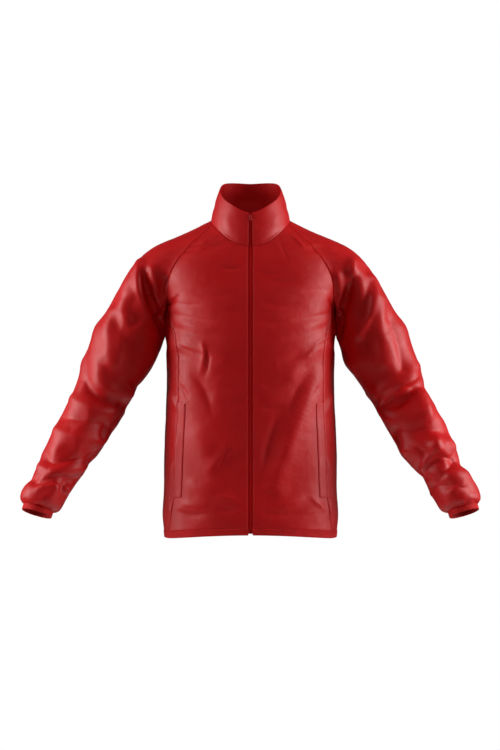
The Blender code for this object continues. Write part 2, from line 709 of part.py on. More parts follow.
def prism(outline, plane, start, end):
    """The outline at two levels, in the slider's own axes. The plane names the outline's two axes."""
    third = ({0, 1, 2} - set(plane)).pop()
    points = np.zeros((2 * len(outline), 3))
    for k, level in enumerate((start, end)):
        part = points[k * len(outline) : (k + 1) * len(outline)]
        part[:, plane[0]], part[:, plane[1]] = np.array(outline, float).T
        part[:, third] = level
    return points.reshape(2, len(outline), 3)


def in_frame(points, frame):
    """Points in the slider's own axes (across, up, out), as points in the garment's."""
    place, up, outward = frame
    return place + points @ np.array([(1, 0, 0), up, outward])


def joined_solids(name, frame, prisms, origin_out=0.0):
    """One solid from prisms that run into each other. Its origin lies so far out of the slider's own."""
    pieces = [swept(f"{name}_{k}", in_frame(part, frame)) for k, part in enumerate(prisms)]
    for piece in pieces[1:]:
        union = pieces[0].modifiers.new("union", "BOOLEAN")
        union.operation = "UNION"
        union.solver = "EXACT"
        union.object = piece
    evaluated = pieces[0].evaluated_get(bpy.context.evaluated_depsgraph_get())
    obj = bpy.data.objects.new(name, bpy.data.meshes.new_from_object(evaluated))
    obj.location = (frame[0] + frame[2] * origin_out) * MM
    obj.data.transform(Matrix.Translation(-obj.location))
    bpy.context.scene.collection.objects.link(obj)
    for piece in pieces:
        bpy.data.objects.remove(piece)
    return obj


def arc(centre, radius, start, end, steps=HALF_TURN_STEPS):
    """Points on an arc, between two angles in degrees."""
    angles = np.radians(np.linspace(start, end, steps + 1))
    return [(centre[0] + radius * math.cos(a), centre[1] + radius * math.sin(a)) for a in angles]


def zip_slider(points, ids):
    """The slider's body, with the arch that holds the pull tab."""
    frame = slider_frame(points, ids)
    axis = (0, TAB_AXIS_OUT)
    foot = SLIDER_DEPTH - ARCH_FOOT
    arch = [(ARCH_RADIUS, foot), *arc(axis, ARCH_RADIUS, 0, 180), (-ARCH_RADIUS, foot)]
    arch += [(-ARCH_HOLLOW, foot), *arc(axis, ARCH_HOLLOW, 180, 0), (ARCH_HOLLOW, foot)]
    return joined_solids(
        "zip_slider",
        frame,
        [
            prism(SLIDER_OUTLINE, (0, 1), 0, SLIDER_DEPTH),
            prism(arch, (1, 2), -ARCH_HALF_WIDTH, ARCH_HALF_WIDTH),
        ],
    )


def zip_pull_tab(points, ids):
    """The pull tab, hanging down the zip. Its crossbar runs through the arch, and is the tab's axis."""
    frame = slider_frame(points, ids)
    low, high = TAB_AXIS_OUT - TAB_WALL / 2, TAB_AXIS_OUT + TAB_WALL / 2
    half, arm = TAB_HALF_WIDTH, ARCH_HALF_WIDTH + TAB_PLAY
    fork = [(-half, TAB_HEAD), *arc((0, half - TAB_LENGTH), half, 180, 360), (half, TAB_HEAD)]
    fork += [(arm, TAB_HEAD), (arm, -TAB_OPENING), (-arm, -TAB_OPENING), (-arm, TAB_HEAD)]
    crossbar = arc((0, TAB_AXIS_OUT), CROSSBAR_RADIUS, 0, 360, CROSSBAR_SIDES)[:-1]
    reach = (arm + half) / 2
    parts = [prism(fork, (0, 1), low, high), prism(crossbar, (1, 2), -reach, reach)]
    return joined_solids("zip_pull_tab", frame, parts, TAB_AXIS_OUT)


def finish(obj):
    """Faces out, smooth rounds with sharp rims, and the part's own material, as its kind of part has."""
    face_out(obj)
    obj.data.shade_smooth()
    obj.data.set_sharp_from_angle(angle=RIM_ANGLE)
    colour, roughness, metallic = next(look for kind, look in LOOKS.items() if obj.name.startswith(kind))
    material = bpy.data.materials.new(obj.name)
    material.use_nodes = True
    shader = material.node_tree.nodes["Principled BSDF"]
    shader.inputs["Base Color"].default_value = (*colour, 1)
    shader.inputs["Roughness"].default_value = roughness
    shader.inputs["Metallic"].default_value = metallic
    obj.data.materials.clear()
    obj.data.materials.append(material)


def main():
    for obj in list(bpy.data.objects):
        bpy.data.objects.remove(obj)
    points, ids = garment()
    normals = normals_of(points, np.concatenate([cells(ids, name) for name in ids]))
    shell = slice(None, -1)
    binding = slice(-2, None)
    sleeve_cuts = {
        "sleeve_front": (slice(None, SLEEVE_SEAM_COLUMN + 1), slice(None, UNDERARM_SEAM_COLUMN + 1)),
        "sleeve_back": (slice(SLEEVE_SEAM_COLUMN, None), slice(UNDERARM_SEAM_COLUMN, None)),
    }
    for side in ("left", "right"):
        wall(f"front_{side}", points, normals, cells(ids, f"front_{side}", shell), WALL)
        wall(f"side_panel_{side}", points, normals, cells(ids, f"side_{side}", shell), WALL)
        for name, (over, under) in sleeve_cuts.items():
            share = [cells(ids, f"over_{side}", None, over), cells(ids, f"under_{side}", None, under)]
            wall(f"{name}_{side}", points, normals, np.concatenate(share), WALL)
        wall(f"cuff_{side}", points, normals, cells(ids, f"cuff_{side}"), BINDING_WALL)
        pocket_welt(points, normals, ids, side)
        zip_tape(points, ids, side)
    whole = (
        ("back", ("back",), shell, WALL),
        ("collar", ("collar",), None, COLLAR_WALL),
        ("hem_band", ("front", "side", "back"), binding, BINDING_WALL),
    )
    for name, parts, rows, thickness in whole:
        share = [cells(ids, f"{part}_{side}", rows) for part in parts for side in ("left", "right")]
        wall(name, points, normals, np.concatenate(share), thickness)
    zip_coil(points, ids)
    zip_slider(points, ids)
    zip_pull_tab(points, ids)
    for obj in bpy.data.objects:
        finish(obj)


if __name__ == "__main__":
    main()
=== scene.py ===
import functools
import math

import bmesh
import bpy
import numpy as np
from mathutils import Matrix, Vector


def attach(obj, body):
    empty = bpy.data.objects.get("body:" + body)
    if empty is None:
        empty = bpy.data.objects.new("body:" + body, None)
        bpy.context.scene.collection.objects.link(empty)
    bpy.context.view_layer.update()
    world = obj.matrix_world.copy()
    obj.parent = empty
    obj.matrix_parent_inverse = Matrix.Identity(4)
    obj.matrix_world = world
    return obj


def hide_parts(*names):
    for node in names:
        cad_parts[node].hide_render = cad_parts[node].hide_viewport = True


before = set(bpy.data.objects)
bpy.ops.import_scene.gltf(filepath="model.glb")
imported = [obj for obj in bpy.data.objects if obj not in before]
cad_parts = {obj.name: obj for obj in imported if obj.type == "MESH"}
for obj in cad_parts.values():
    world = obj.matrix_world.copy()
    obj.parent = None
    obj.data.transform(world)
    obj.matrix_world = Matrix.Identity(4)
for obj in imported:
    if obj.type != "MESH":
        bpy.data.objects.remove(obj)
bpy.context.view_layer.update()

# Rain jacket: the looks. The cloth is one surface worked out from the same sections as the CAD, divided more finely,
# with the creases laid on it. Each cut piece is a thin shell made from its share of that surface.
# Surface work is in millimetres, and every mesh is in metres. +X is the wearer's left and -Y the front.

bl_info = {
    "name": "Rain jacket",
    "version": (1, 0, 0),
    "blender": (4, 5, 0),
    "location": "View3D > Sidebar > Rain jacket",
    "description": "Builds a zipped-up rain jacket in woven polyester, with its zip, stitching and stage",
    "category": "Object",
}

MM = 0.001

# Sizes and places that the CAD gives, in millimetres.
WALL = 1.6
COLLAR_WALL = 2.4
BINDING_WALL = 2.6
SEAM_GAP = 0.3
ZIP_HALF_GAP = 5.6
CUFF_LENGTH = 12.0
BODY_POWER = 2.3
SLEEVE_POWER = 2.15
COLLAR_POWER = 2.1
COLLAR_BULGE = 2.5
TAPE_TOP_MARGIN = 1.5
TAPE_END_MARGIN = 2.5
SLIDER_Z = 7.5
TAB_AXIS_OUT = 4.7
TAB_AXIS = (0.0, -84.6182, 8.0677)
COLLAR_CENTRE_Y = -8
COLLAR_TOP_HALF_WIDTH = 68.5
COLLAR_TOP_FRONT = 72
COLLAR_TOP_BACK = 66
UNDERARM_POINT = (194, 4, -202)
UNDERARM_ANGLE = 140.0
WELT_TOP_Z = -406
WELT_BOTTOM_Z = -616
WELT_SHARE = 0.145

# Sizes of the drawn pieces, in millimetres.
WELT_WALL = 1.0
WELT_LIFT = WALL / 2 + SEAM_GAP + 0.3
TAPE_WALL = 0.7
# Where the tape's columns of points stand beside the middle of the zip.
TAPE_COLUMNS = np.linspace(0.2, 13.0, 9)
# How far the tape's middle lies behind the cloth, and how far the coil's stands inside its inner face.
TAPE_DEPTH = 0.9
COIL_DEPTH = 0.35
COIL_BELOW_SLIDER = 4.0
# Borders this near the zip are rolled in less than the seams, and so is the collar's top edge, which is what stands
# above this height and within this distance of the collar's middle.
BESIDE_ZIP = ZIP_HALF_GAP + 1.5
COLLAR_TOP_LOWEST = 16
COLLAR_TOP_REACH = 76
# How far the stitches stand from the edges.
FROM_SEAM = 3.2
FROM_ZIP = 4.5
FROM_BINDING = 2.6
FROM_WELT_EDGE = 3.0
FROM_COLLAR_TOP = 6.0
# The distances from an edge over which the creases grow to their full height.
FADE_TOP, FADE_HEM, FADE_ZIP, FADE_CUFF = 20, 32, 26, 10
# Further than any point is from a seam.
FAR = 1000.0
# The cloth's slack: the height of its bumps, how far across they are, and the seed of each kind.
SLACK_KINDS = ((0.7, 52, 3), (0.35, 21, 7), (0.12, 9, 11))
# The seam allowances lie under the cloth beside each seam. They lift it by this much, so far from the seam and within
# so many millimetres of that.
RIDGE_HEIGHT, RIDGE_FROM_SEAM, RIDGE_REACH = 0.55, 3.6, 1.7
# The cloth is gathered most just above the cuff.
GATHER_HEIGHT, GATHER_FROM_CUFF, GATHER_REACH = 1.5, 5, 8

# One turn of the coil, in metres, and its slant.
TURN_SIZES = {"Turn length": 0.0034, "Turn width": 0.0011, "Offset": 0.00125, "Slant": 0.16}
# The point that the lamps are turned towards, in metres.
LAMPS_AIM = (0, 0, -0.35)
SIDES = ("left", "right")
HASH_PRIMES = (73856093, 19349663, 83492791)

# How the cloth is divided, before the detail setting multiplies it.
FRONT_COLUMNS = 12
BACK_HALF_COLUMNS = 9
SLEEVE_TOP_COLUMNS = 18
UNDERARM_COLUMNS = 7
COLLAR_ROWS = 4
# Where the sleeve's two cuts meet, as a share of the width over the arm and of the width under it.
SLEEVE_SEAM = 9 / 18
UNDERARM_SEAM = 4 / 7
# Extra rows and columns beside each seam, so that it can roll in sharply.
ROWS_BESIDE_SEAM = (0.9, 2.0)
COLUMNS_BESIDE_SEAM = (0.2, 0.5)

YOKE_COLUMNS = (
    "rows front_y front_z raglan_x raglan_y raglan_z crest_x crest_y crest_z over_x over_y over_z "
    "back_crest_x back_crest_y back_crest_z back_raglan_x back_raglan_y back_raglan_z back_y back_z"
).split()
YOKE = (
    (0, -86, -60, 84, -24, -8, 87, -11, -2, 88, 2, 2, 87, 15, 5, 82, 29, 9, 70, 16),
    (2, -97, -80, 111, -48, -33, 125, -27, -25, 135, 4, -21, 124, 34, -19, 108, 58, -18, 86, -20),
    (2, -108, -104, 138, -65, -60, 166, -43, -49, 185, 6, -42, 165, 56, -45, 136, 84, -51, 106, -58),
    (2, -118, -130, 163, -74, -94, 207, -57, -82, 236, 8, -69, 205, 72, -78, 160, 96, -90, 121, -97),
    (2, -126, -152, 180, -72, -130, 238, -68, -124, 273, 6, -113, 238, 80, -122, 178, 90, -130, 129, -136),
    (2, -131, -172, 184, -58, -168, 252, -74, -168, 301, 2, -160, 253, 80, -168, 186, 66, -168, 132, -170),
)
BODY_COLUMNS = "rows z front_z half_width front back seam_x back_seam_x".split()
BODY = (
    (3, -212, -212, 188, 134, 131, 178, 172),
    (3, -266, -266, 187, 137, 126, 164, 166),
    (4, -335, -335, 185, 133, 118, 160, 163),
    (4, -406, -406, 188, 127, 111, 160, 164),
    (4, -480, -479, 192, 123, 108, 164, 166),
    (4, -550, -547, 194, 123, 110, 167, 168),
    (4, -616, -610, 195, 126, 115, 170, 170),
    (2, -655, -647, 197, 128, 119, 175, 173),
    (1, -693, -681, 194, 127, 120, 181, 177),
    (1, -706, -694, 193, 126, 120, 181, 177),
)
SLEEVE_COLUMNS = "rows x y z half_width half_depth tilt lean".split()
SLEEVE = (
    (3, 259, 2, -222, 68, 76, 16, 2),
    (4, 285, -2, -288, 74, 73, 20, 4),
    (4, 316, -8, -350, 67, 67, 23, 9),
    (4, 344, -18, -410, 60, 62, 26, 13),
    (4, 374, -31, -466, 58, 58, 28, 15),
    (4, 406, -46, -523, 53, 54, 28, 16),
    (4, 436, -61, -575, 46, 50, 27, 16),
    (3, 459, -72, -613, 48, 50, 20, 15),
    (1, 466, -76, -631, 44, 45, 16, 15),
    (1, 469, -78, -638, 33, 33, 16, 15),
)
# The collar's top edge: the angle round it from the front, in degrees, and the height there.
COLLAR_TOP = (
    (0, 14.5), (11, 17), (25, 25.5), (40, 35.5), (52, 43), (64, 51.5),
    (80, 64), (95, 73.5), (107, 81), (118, 86.5), (132, 90), (180, 90.5),
)

# The creases. Each is a stroke through three points, as seen from the angle in its first column: 0 is from the front,
# 90 from the wearer's left. Width is half the crease's width, and height is outwards, or inwards below 0. Power is the
# shape across it: 2 is a soft roll, and nearer 1 is a sharper crease. The first two tables are the CAD's own folds,
# some of the sleeve's shallower here than there. The others are drawn here alone.
FOLD_COLUMNS = "view x0 z0 x1 z1 x2 z2 width height power".split()
BODY_FOLDS = """
0 -172 -275 -120 -290 -60 -310 16 3.5 2
0 172 -275 130 -300 90 -345 15 3.5 2
0 -150 -300 -120 -330 -95 -380 18 -3 2
0 -110 -470 -95 -520 -80 -570 26 4 2
0 150 -350 110 -460 60 -590 22 4 2
0 120 -330 70 -430 50 -520 24 -3.5 2
180 -150 -150 -100 -210 -70 -290 22 4 2
180 150 -160 105 -205 60 -300 22 4.5 2
180 -130 -380 -20 -400 110 -392 20 4 2
180 -140 -440 -40 -455 90 -430 18 -3.5 2
180 -60 -500 -40 -570 -50 -640 26 4 2
180 100 -480 80 -560 90 -650 24 3.5 2
90 -20 -300 0 -340 30 -420 14 3 2
-90 -25 -300 0 -350 20 -430 14 3 2
"""
SLEEVE_FOLDS = """
0 -238 -125 -220 -185 -185 -262 11 -17 1.5
0 -247 -94 -245 -145 -223 -211 11 8 2
0 -218 -112 -209 -152 -192 -191 10 6 2
0 -185 -132 -198 -152 -200 -180 7 -8 1.4
0 -265 -116 -287 -171 -274 -218 15 5 2
0 -278 -218 -267 -245 -243 -236 15 4.5 2
0 -291 -169 -302 -205 -280 -245 16 -4 1.7
0 -251 -174 -265 -196 -249 -222 14 -4 1.7
0 -307 -205 -313 -256 -307 -315 15 8 2
0 -366 -318 -356 -376 -289 -408 18 -8.2 1.5
0 -333 -338 -320 -369 -280 -382 18 6.1 2
0 -400 -395 -356 -415 -285 -424 15 5.4 2
0 -420 -437 -382 -441 -320 -455 14 -7.5 1.5
0 -431 -466 -387 -482 -316 -488 15 6.1 2
0 -450 -519 -422 -539 -351 -515 13 -7.5 1.5
0 -466 -546 -426 -555 -360 -548 14 6.1 2
0 -476 -577 -444 -583 -384 -572 12 -6.8 1.5
0 225 -129 212 -185 194 -253 11 -17 1.5
0 227 -94 223 -145 209 -211 11 8 2
0 192 -123 200 -156 200 -189 10 6 2
0 260 -107 269 -160 256 -205 15 -6 1.7
0 274 -123 276 -167 238 -256 11 8 2
0 267 -222 256 -251 260 -278 15 -4 1.7
0 289 -178 287 -233 296 -315 16 8 2
0 309 -222 327 -278 336 -329 14 -6 1.5
0 373 -324 336 -351 287 -382 16 6.8 2
0 372 -364 338 -393 282 -412 18 -7.5 1.5
0 398 -417 358 -435 296 -435 18 5.4 2
0 427 -471 393 -466 322 -471 14 -6.1 1.5
0 451 -500 411 -497 344 -504 15 6.1 2
0 454 -530 420 -526 384 -555 13 -6.8 1.5
0 482 -560 437 -564 384 -564 15 5.4 2
0 492 -597 446 -586 406 -590 11 -6.1 1.5
180 -330 -330 -360 -372 -300 -400 18 -6.8 1.5
180 -340 -420 -395 -440 -420 -430 15 -6.1 1.5
180 -350 -455 -400 -475 -430 -468 15 5.4 2
180 -370 -505 -420 -520 -455 -515 13 -6.1 1.5
180 -400 -545 -440 -560 -475 -552 14 4.8 2
180 -230 -130 -215 -190 -200 -250 14 -10 1.5
180 -270 -120 -285 -180 -270 -240 14 7 2
180 225 -125 214 -180 198 -255 14 -10 1.5
180 268 -110 280 -170 262 -245 13 7 2
180 385 -318 340 -355 290 -375 17 5.4 2
180 388 -352 345 -385 296 -410 17 -6.8 1.5
180 430 -460 385 -455 340 -470 14 -6.1 1.5
180 445 -495 400 -490 350 -505 15 5.4 2
180 462 -535 420 -532 380 -545 13 -6.1 1.5
90 30 -358 -20 -374 -75 -366 13 -4.8 1.5
90 40 -430 -20 -452 -80 -430 15 2.7 2
90 20 -534 -40 -545 -95 -530 13 -5.4 1.5
-90 55 -305 -5 -316 -70 -308 20 4.8 2
-90 30 -508 -30 -520 -90 -508 16 3.4 2
-90 15 -560 -45 -574 -100 -566 13 -6.1 1.5
"""
SMALL_FOLDS = """
0 -100 -443 -62 -482 -49 -513 16 3.5 2
0 -38 -500 -58 -526 -73 -554 5 -3.5 1.4
0 -137 -574 -100 -596 -49 -598 14 3.5 2
0 -163 -644 -132 -652 -100 -646 6 -4 1.5
0 -159 -626 -128 -629 -93 -633 7 3.5 1.8
0 -80 -620 -54 -613 -23 -626 8 3.5 1.8
0 -75 -635 -49 -640 -19 -631 6 -3 1.5
0 49 -631 86 -624 124 -609 8 3.2 1.8
0 21 -644 75 -650 135 -635 6 -3.5 1.5
0 130 -615 152 -629 165 -646 6 2.8 1.8
0 108 -381 73 -486 36 -605 20 4.5 2
0 60 -438 40 -497 25 -578 9 -3 1.7
0 -113 -272 -102 -296 -113 -342 6 3.6 1.7
0 -97 -285 -93 -316 -102 -351 5 -3 1.5
0 -165 -272 -141 -281 -124 -292 3.5 2.6 1.5
0 178 -255 156 -268 132 -290 3.5 2.6 1.5
0 161 -283 141 -290 121 -307 4 2.4 1.5
0 -196 -193 -174 -181 -156 -165 4 -4 1.4
0 172 -174 180 -189 189 -206 4 -3.5 1.4
0 -54 -200 -30 -206 -5 -202 5 -1.8 1.5
0 -58 -106 -36 -112 -10 -108 5 -1.8 1.5
0 12 -115 43 -123 73 -115 6 -1.6 1.5
0 12 -220 47 -230 86 -224 6 -2 1.5
0 -54 -364 -27 -370 -5 -366 5 -1.8 1.5
0 12 -360 47 -368 78 -360 6 -1.8 1.5
0 -62 -403 -32 -410 -5 -403 6 -1.8 1.5
0 12 -408 43 -416 78 -408 6 -2 1.5
0 -117 -73 -80 -62 -40 -61 3.5 -2.8 1.4
0 -113 -55 -93 -47 -67 -51 3 2.6 1.5
0 -180 -75 -143 -69 -113 -64 4 -2.5 1.4
0 89 -34 106 -49 121 -64 3.5 3 1.5
0 108 -34 141 -45 176 -51 4 -2.6 1.4
0 126 -64 156 -71 191 -75 4 -2.6 1.4
0 -159 -454 -163 -508 -165 -574 6 2.2 1.8
0 -185 -381 -172 -399 -163 -425 6 3.4 1.7
0 187 -381 176 -403 170 -430 6 3.4 1.7
0 -174 -530 -176 -556 -180 -587 5 3 1.7
0 170 -526 176 -552 183 -587 5 3 1.7
0 -189 -618 -178 -635 -180 -657 5 3 1.7
0 185 -618 176 -637 180 -657 5 3 1.7
0 -193 -190 -179 -186 -164 -182 4 -2.9 1.3
0 -185 -204 -133 -219 -78 -228 5 -2.6 1.4
0 -181 -217 -128 -237 -67 -246 6 2.1 1.8
0 -181 -230 -128 -254 -62 -263 6 -2.6 1.4
0 -181 -178 -144 -189 -102 -186 4 -2.1 1.4
0 -176 -259 -122 -294 -56 -311 8 -2.9 1.5
0 185 -200 141 -217 87 -224 5 -2.6 1.4
0 183 -215 130 -235 71 -243 6 2.1 1.8
0 181 -230 126 -254 65 -263 6 -2.6 1.4
0 179 -263 119 -294 54 -316 8 -2.9 1.5
0 108 -162 148 -156 179 -158 5 -1.9 1.4
0 -76 -105 -47 -110 -19 -105 4 -2.4 1.4
0 -100 -48 -80 -44 -61 -41 3 -2.1 1.3
0 -100 -57 -78 -55 -54 -54 3 -2.1 1.3
0 -100 -68 -73 -70 -45 -75 3.5 -1.8 1.3
0 -41 -55 -111 -56 -179 -64 3.5 -2.1 1.3
0 60 -40 73 -70 84 -101 4 -1.4 1.4
0 130 -59 152 -61 177 -59 5 -2.9 1.4
0 -133 -158 -78 -171 -19 -162 7 -1.9 1.6
0 16 -180 65 -193 108 -184 7 -1.9 1.6
0 25 -132 76 -140 130 -127 6 -1.6 1.6
0 -100 -563 -67 -530 -34 -498 13 4.2 2
0 141 -355 91 -480 43 -607 15 3.8 2
0 -137 -338 -100 -381 -84 -443 9 -2.9 1.6
0 135 -338 100 -381 82 -438 9 -2.6 1.6
0 -165 -644 -122 -651 -78 -647 4 -2.2 1.4
0 -159 -662 -117 -666 -80 -664 4 -1.9 1.4
0 87 -647 119 -653 152 -649 4 -2.2 1.4
0 91 -664 122 -669 150 -664 4 -1.9 1.4
0 -157 -366 -146 -381 -137 -399 4 -2.9 1.3
0 154 -366 144 -381 135 -399 4 -2.4 1.3
0 -237 -129 -218 -183 -189 -258 7 -12 1.3
0 -187 -169 -196 -185 -203 -205 4.5 -6 1.3
0 -225 -143 -212 -167 -198 -189 3.5 4 1.5
0 -245 -94 -250 -140 -234 -196 8 4 1.7
0 -287 -233 -290 -289 -295 -355 16 7 1.8
0 -223 -278 -216 -307 -231 -331 9 4 1.7
0 222 -140 207 -191 189 -247 7 -12 1.3
0 189 -247 187 -262 188 -276 5 -6 1.4
0 196 -253 203 -269 205 -287 7 4 1.8
0 231 -98 225 -123 218 -149 7 4 1.7
0 256 -134 256 -194 234 -249 11 -5 1.5
0 269 -145 267 -205 251 -267 12 5 1.8
0 296 -245 313 -293 318 -351 16 6 1.8
0 220 -311 229 -329 243 -346 6 4 1.6
0 -370 -338 -348 -384 -291 -408 10.8 -6.8 1.4
0 -278 -355 -267 -382 -278 -404 8 9 1.6
0 -414 -584 -405 -595 -410 -610 7 7.2 1.6
0 375 -338 351 -355 320 -373 10 10.8 1.7
0 381 -351 340 -388 296 -404 16.8 -7.9 1.6
0 377 -373 390 -410 399 -452 12 7.2 1.8
0 296 -388 291 -410 287 -443 7 9 1.6
0 388 -527 381 -544 372 -562 7 8.1 1.6
0 421 -483 405 -496 390 -507 10 9 1.8
0 454 -505 441 -544 449 -584 10.8 -5.6 1.6
90 75 -226 0 -238 -75 -252 25 7 2
-90 75 -226 0 -238 -75 -252 25 7 2
0 -463 -579 -423 -568 -392 -579 6 -6.8 1.5
0 -476 -601 -445 -588 -419 -597 7 6.8 1.7
0 359 -382 333 -404 302 -417 9 -8.1 1.6
0 430 -496 403 -513 386 -540 8 6.8 1.7
0 452 -535 430 -553 408 -584 7 -6.8 1.5
0 474 -571 452 -593 425 -606 7 6.8 1.7
0 -368 -390 -355 -441 -397 -465 20 7.5 1.6
0 -397 -465 -383 -524 -445 -551 18 8 1.6
0 -447 -549 -427 -593 -467 -615 16 7 1.6
0 -300 -404 -282 -426 -315 -452 8 -7 1.5
0 -315 -452 -326 -470 -318 -500 8 -7 1.5
0 -348 -520 -361 -535 -351 -553 8 -7 1.5
0 -375 -571 -414 -590 -405 -608 8 -7 1.5
0 372 -342 375 -408 390 -452 18 7 1.6
0 390 -452 419 -507 452 -518 16 7 1.6
0 452 -518 443 -566 482 -599 16 7.5 1.6
0 318 -456 322 -487 333 -507 8 -6.5 1.5
0 333 -500 370 -507 386 -527 8 -6.5 1.5
0 386 -527 372 -555 394 -579 8 -7 1.5
0 399 -584 403 -606 430 -632 9 -6 1.5
"""
COLLAR_FOLDS = """
0 3 -10 26 -14 58 -11 4 -1.8 1.5
0 24 -48 48 -38 72 -12 7 -1.6 1.7
0 -70 -14 -52 -36 -24 -46 7 -1.5 1.7
0 -58 14 -50 -8 -36 -22 9 1.2 2
0 60 22 56 2 44 -14 9 1.2 2
0 -74 -8 -66 -22 -50 -34 4 1.2 1.6
180 -60 60 0 52 58 62 9 1.5 2
180 -66 20 -10 14 60 24 8 -1.5 1.8
90 -40 40 0 30 30 50 8 -1.4 1.8
-90 -30 46 5 34 40 44 8 -1.4 1.8
"""


def records(columns, rows):
    """The rows of a table, each as its named columns."""
    return [dict(zip(columns, map(float, row))) for row in rows]


def smooth_curve(knots, points, at):
    """A natural cubic spline through points at the knots, read at other places."""
    count = len(knots)
    step = np.diff(knots)
    flat = points.reshape(count, -1)
    left = np.eye(count)
    right = np.zeros_like(flat)
    for i in range(1, count - 1):
        left[i, i - 1 : i + 2] = step[i - 1], 2 * (step[i - 1] + step[i]), step[i]
        slope_after = (flat[i + 1] - flat[i]) / step[i]
        slope_before = (flat[i] - flat[i - 1]) / step[i - 1]
        right[i] = 6 * (slope_after - slope_before)
    bend = np.linalg.solve(left, right)
    at = np.asarray(at, float)
    i = np.clip(np.searchsorted(knots, at, side="right") - 1, 0, count - 2)
    h = step[i][:, None]
    a = (knots[i + 1] - at)[:, None] / h
    b = 1 - a
    value = a * flat[i] + b * flat[i + 1] + ((a**3 - a) * bend[i] + (b**3 - b) * bend[i + 1]) * h**2 / 6
    return value.reshape((len(at),) + points.shape[1:])


def lengths_along(points):
    """The distance of each point along the line."""
    return np.concatenate([[0], np.cumsum(np.linalg.norm(np.diff(points, axis=0), axis=1))])


def column_places(columns, seams=()):
    """Where the columns stand across a panel, from 0 to 1, with the extra ones beside its edges and its own seams."""
    places = [np.linspace(0, 1, columns + 1)]
    for seam in (0, 1, *seams):
        places.append([seam + side * share / columns for share in COLUMNS_BESIDE_SEAM for side in (-1, 1)])
    places = np.sort(np.concatenate(places))
    return places[(places >= 0) & (places <= 1)]


def panel_places(detail):
    """Where the columns of each kind of grid stand."""
    return {
        "front": column_places(FRONT_COLUMNS * detail),
        "back": column_places(BACK_HALF_COLUMNS * detail),
        "over": column_places(SLEEVE_TOP_COLUMNS * detail, (SLEEVE_SEAM,)),
        "under": column_places(UNDERARM_COLUMNS * detail, (UNDERARM_SEAM,)),
    }


def sleeve_seam_column(name, detail):
    """The column of a sleeve grid at which its front and back cuts meet."""
    kind, share = ("over", SLEEVE_SEAM) if name.startswith("over") else ("under", UNDERARM_SEAM)
    return int(np.abs(panel_places(detail)[kind] - share).argmin())


def evenly(points, places):
    """The line's points at the given shares of its length."""
    along = lengths_along(points)
    return np.stack([np.interp(places * along[-1], along, points[:, k]) for k in range(3)], axis=1)


def centre_arc(x_from, x_to, seam, depth, centre_z, power=BODY_POWER, steps=240):
    """From near the centre line to the seam point, on the superellipse that meets both."""
    seam_x, seam_y, seam_z = seam
    half_width = seam_x / (1 - abs(seam_y / depth) ** power) ** (1 / power)
    theta = np.linspace(0, 1, steps)
    x = x_from + (x_to - x_from) * np.sin(theta * math.pi / 2)
    y = depth * (1 - (x / half_width) ** power) ** (1 / power)
    z = centre_z + (seam_z - centre_z) * (x / seam_x) ** 2
    return np.stack([x, y, z], axis=1)


def yoke_section(s, places):
    """One yoke section: its front arc, its arc over the sleeve, and its back arc."""
    names = ("raglan", "crest", "over", "back_crest", "back_raglan")
    raglan, *middle, back_raglan = [np.array([s[f"{name}_{axis}"] for axis in "xyz"]) for name in names]
    front = centre_arc(ZIP_HALF_GAP, raglan[0], raglan, s["front_y"], s["front_z"], steps=60)
    back = centre_arc(0, back_raglan[0], back_raglan, s["back_y"], s["back_z"], steps=60)[::-1]
    reach = 0.25 * np.linalg.norm(middle[1] - raglan)
    before = front[-1] + (front[-8] - front[-1]) / np.linalg.norm(front[-8] - front[-1]) * reach
    after = back[0] + (back[7] - back[0]) / np.linalg.norm(back[7] - back[0]) * reach
    guide = np.array([before, raglan, *middle, back_raglan, after])
    along = lengths_along(guide)
    over = smooth_curve(along, guide, np.linspace(along[1], along[-2], 400))
    return evenly(front, places["front"]), evenly(over, places["over"]), evenly(back, places["back"])


def body_section(s, places):
    """One body section: its front, side panel and back arcs, from the front round to the back."""
    halves = ((-s["front"], s["seam_x"], s["front_z"]), (s["back"], s["back_seam_x"], s["z"]))
    parts = []
    for depth, seam_x, centre_z in halves:
        seam_y = depth * (1 - (seam_x / s["half_width"]) ** BODY_POWER) ** (1 / BODY_POWER)
        seam_angle = math.asin((seam_x / s["half_width"]) ** (BODY_POWER / 2))
        theta = np.linspace(seam_angle, math.pi / 2, 120)
        across = s["half_width"] * np.sin(theta) ** (2 / BODY_POWER)
        forward = depth * np.maximum(np.cos(theta), 0) ** (2 / BODY_POWER)
        side = np.stack([across, forward, np.full(len(theta), s["z"])], axis=1)
        start = ZIP_HALF_GAP if depth < 0 else 0
        parts.append((centre_arc(start, seam_x, (seam_x, seam_y, s["z"]), depth, centre_z), side))
    (front, front_side), (back, back_side) = parts
    side = np.concatenate([front_side, back_side[::-1][1:]])
    return evenly(front, places["front"]), evenly(side, places["under"]), evenly(back[::-1], places["back"])


def sleeve_directions(s):
    """Outwards, forwards and along the sleeve, for a section's tilt and lean."""
    tilt, lean = math.radians(s["tilt"]), math.radians(s["lean"])
    out = np.array([math.cos(tilt), 0, math.sin(tilt)])
    along = np.array([math.sin(tilt) * math.cos(lean), -math.sin(lean), -math.cos(tilt) * math.cos(lean)])
    return out, np.cross(along, out), along


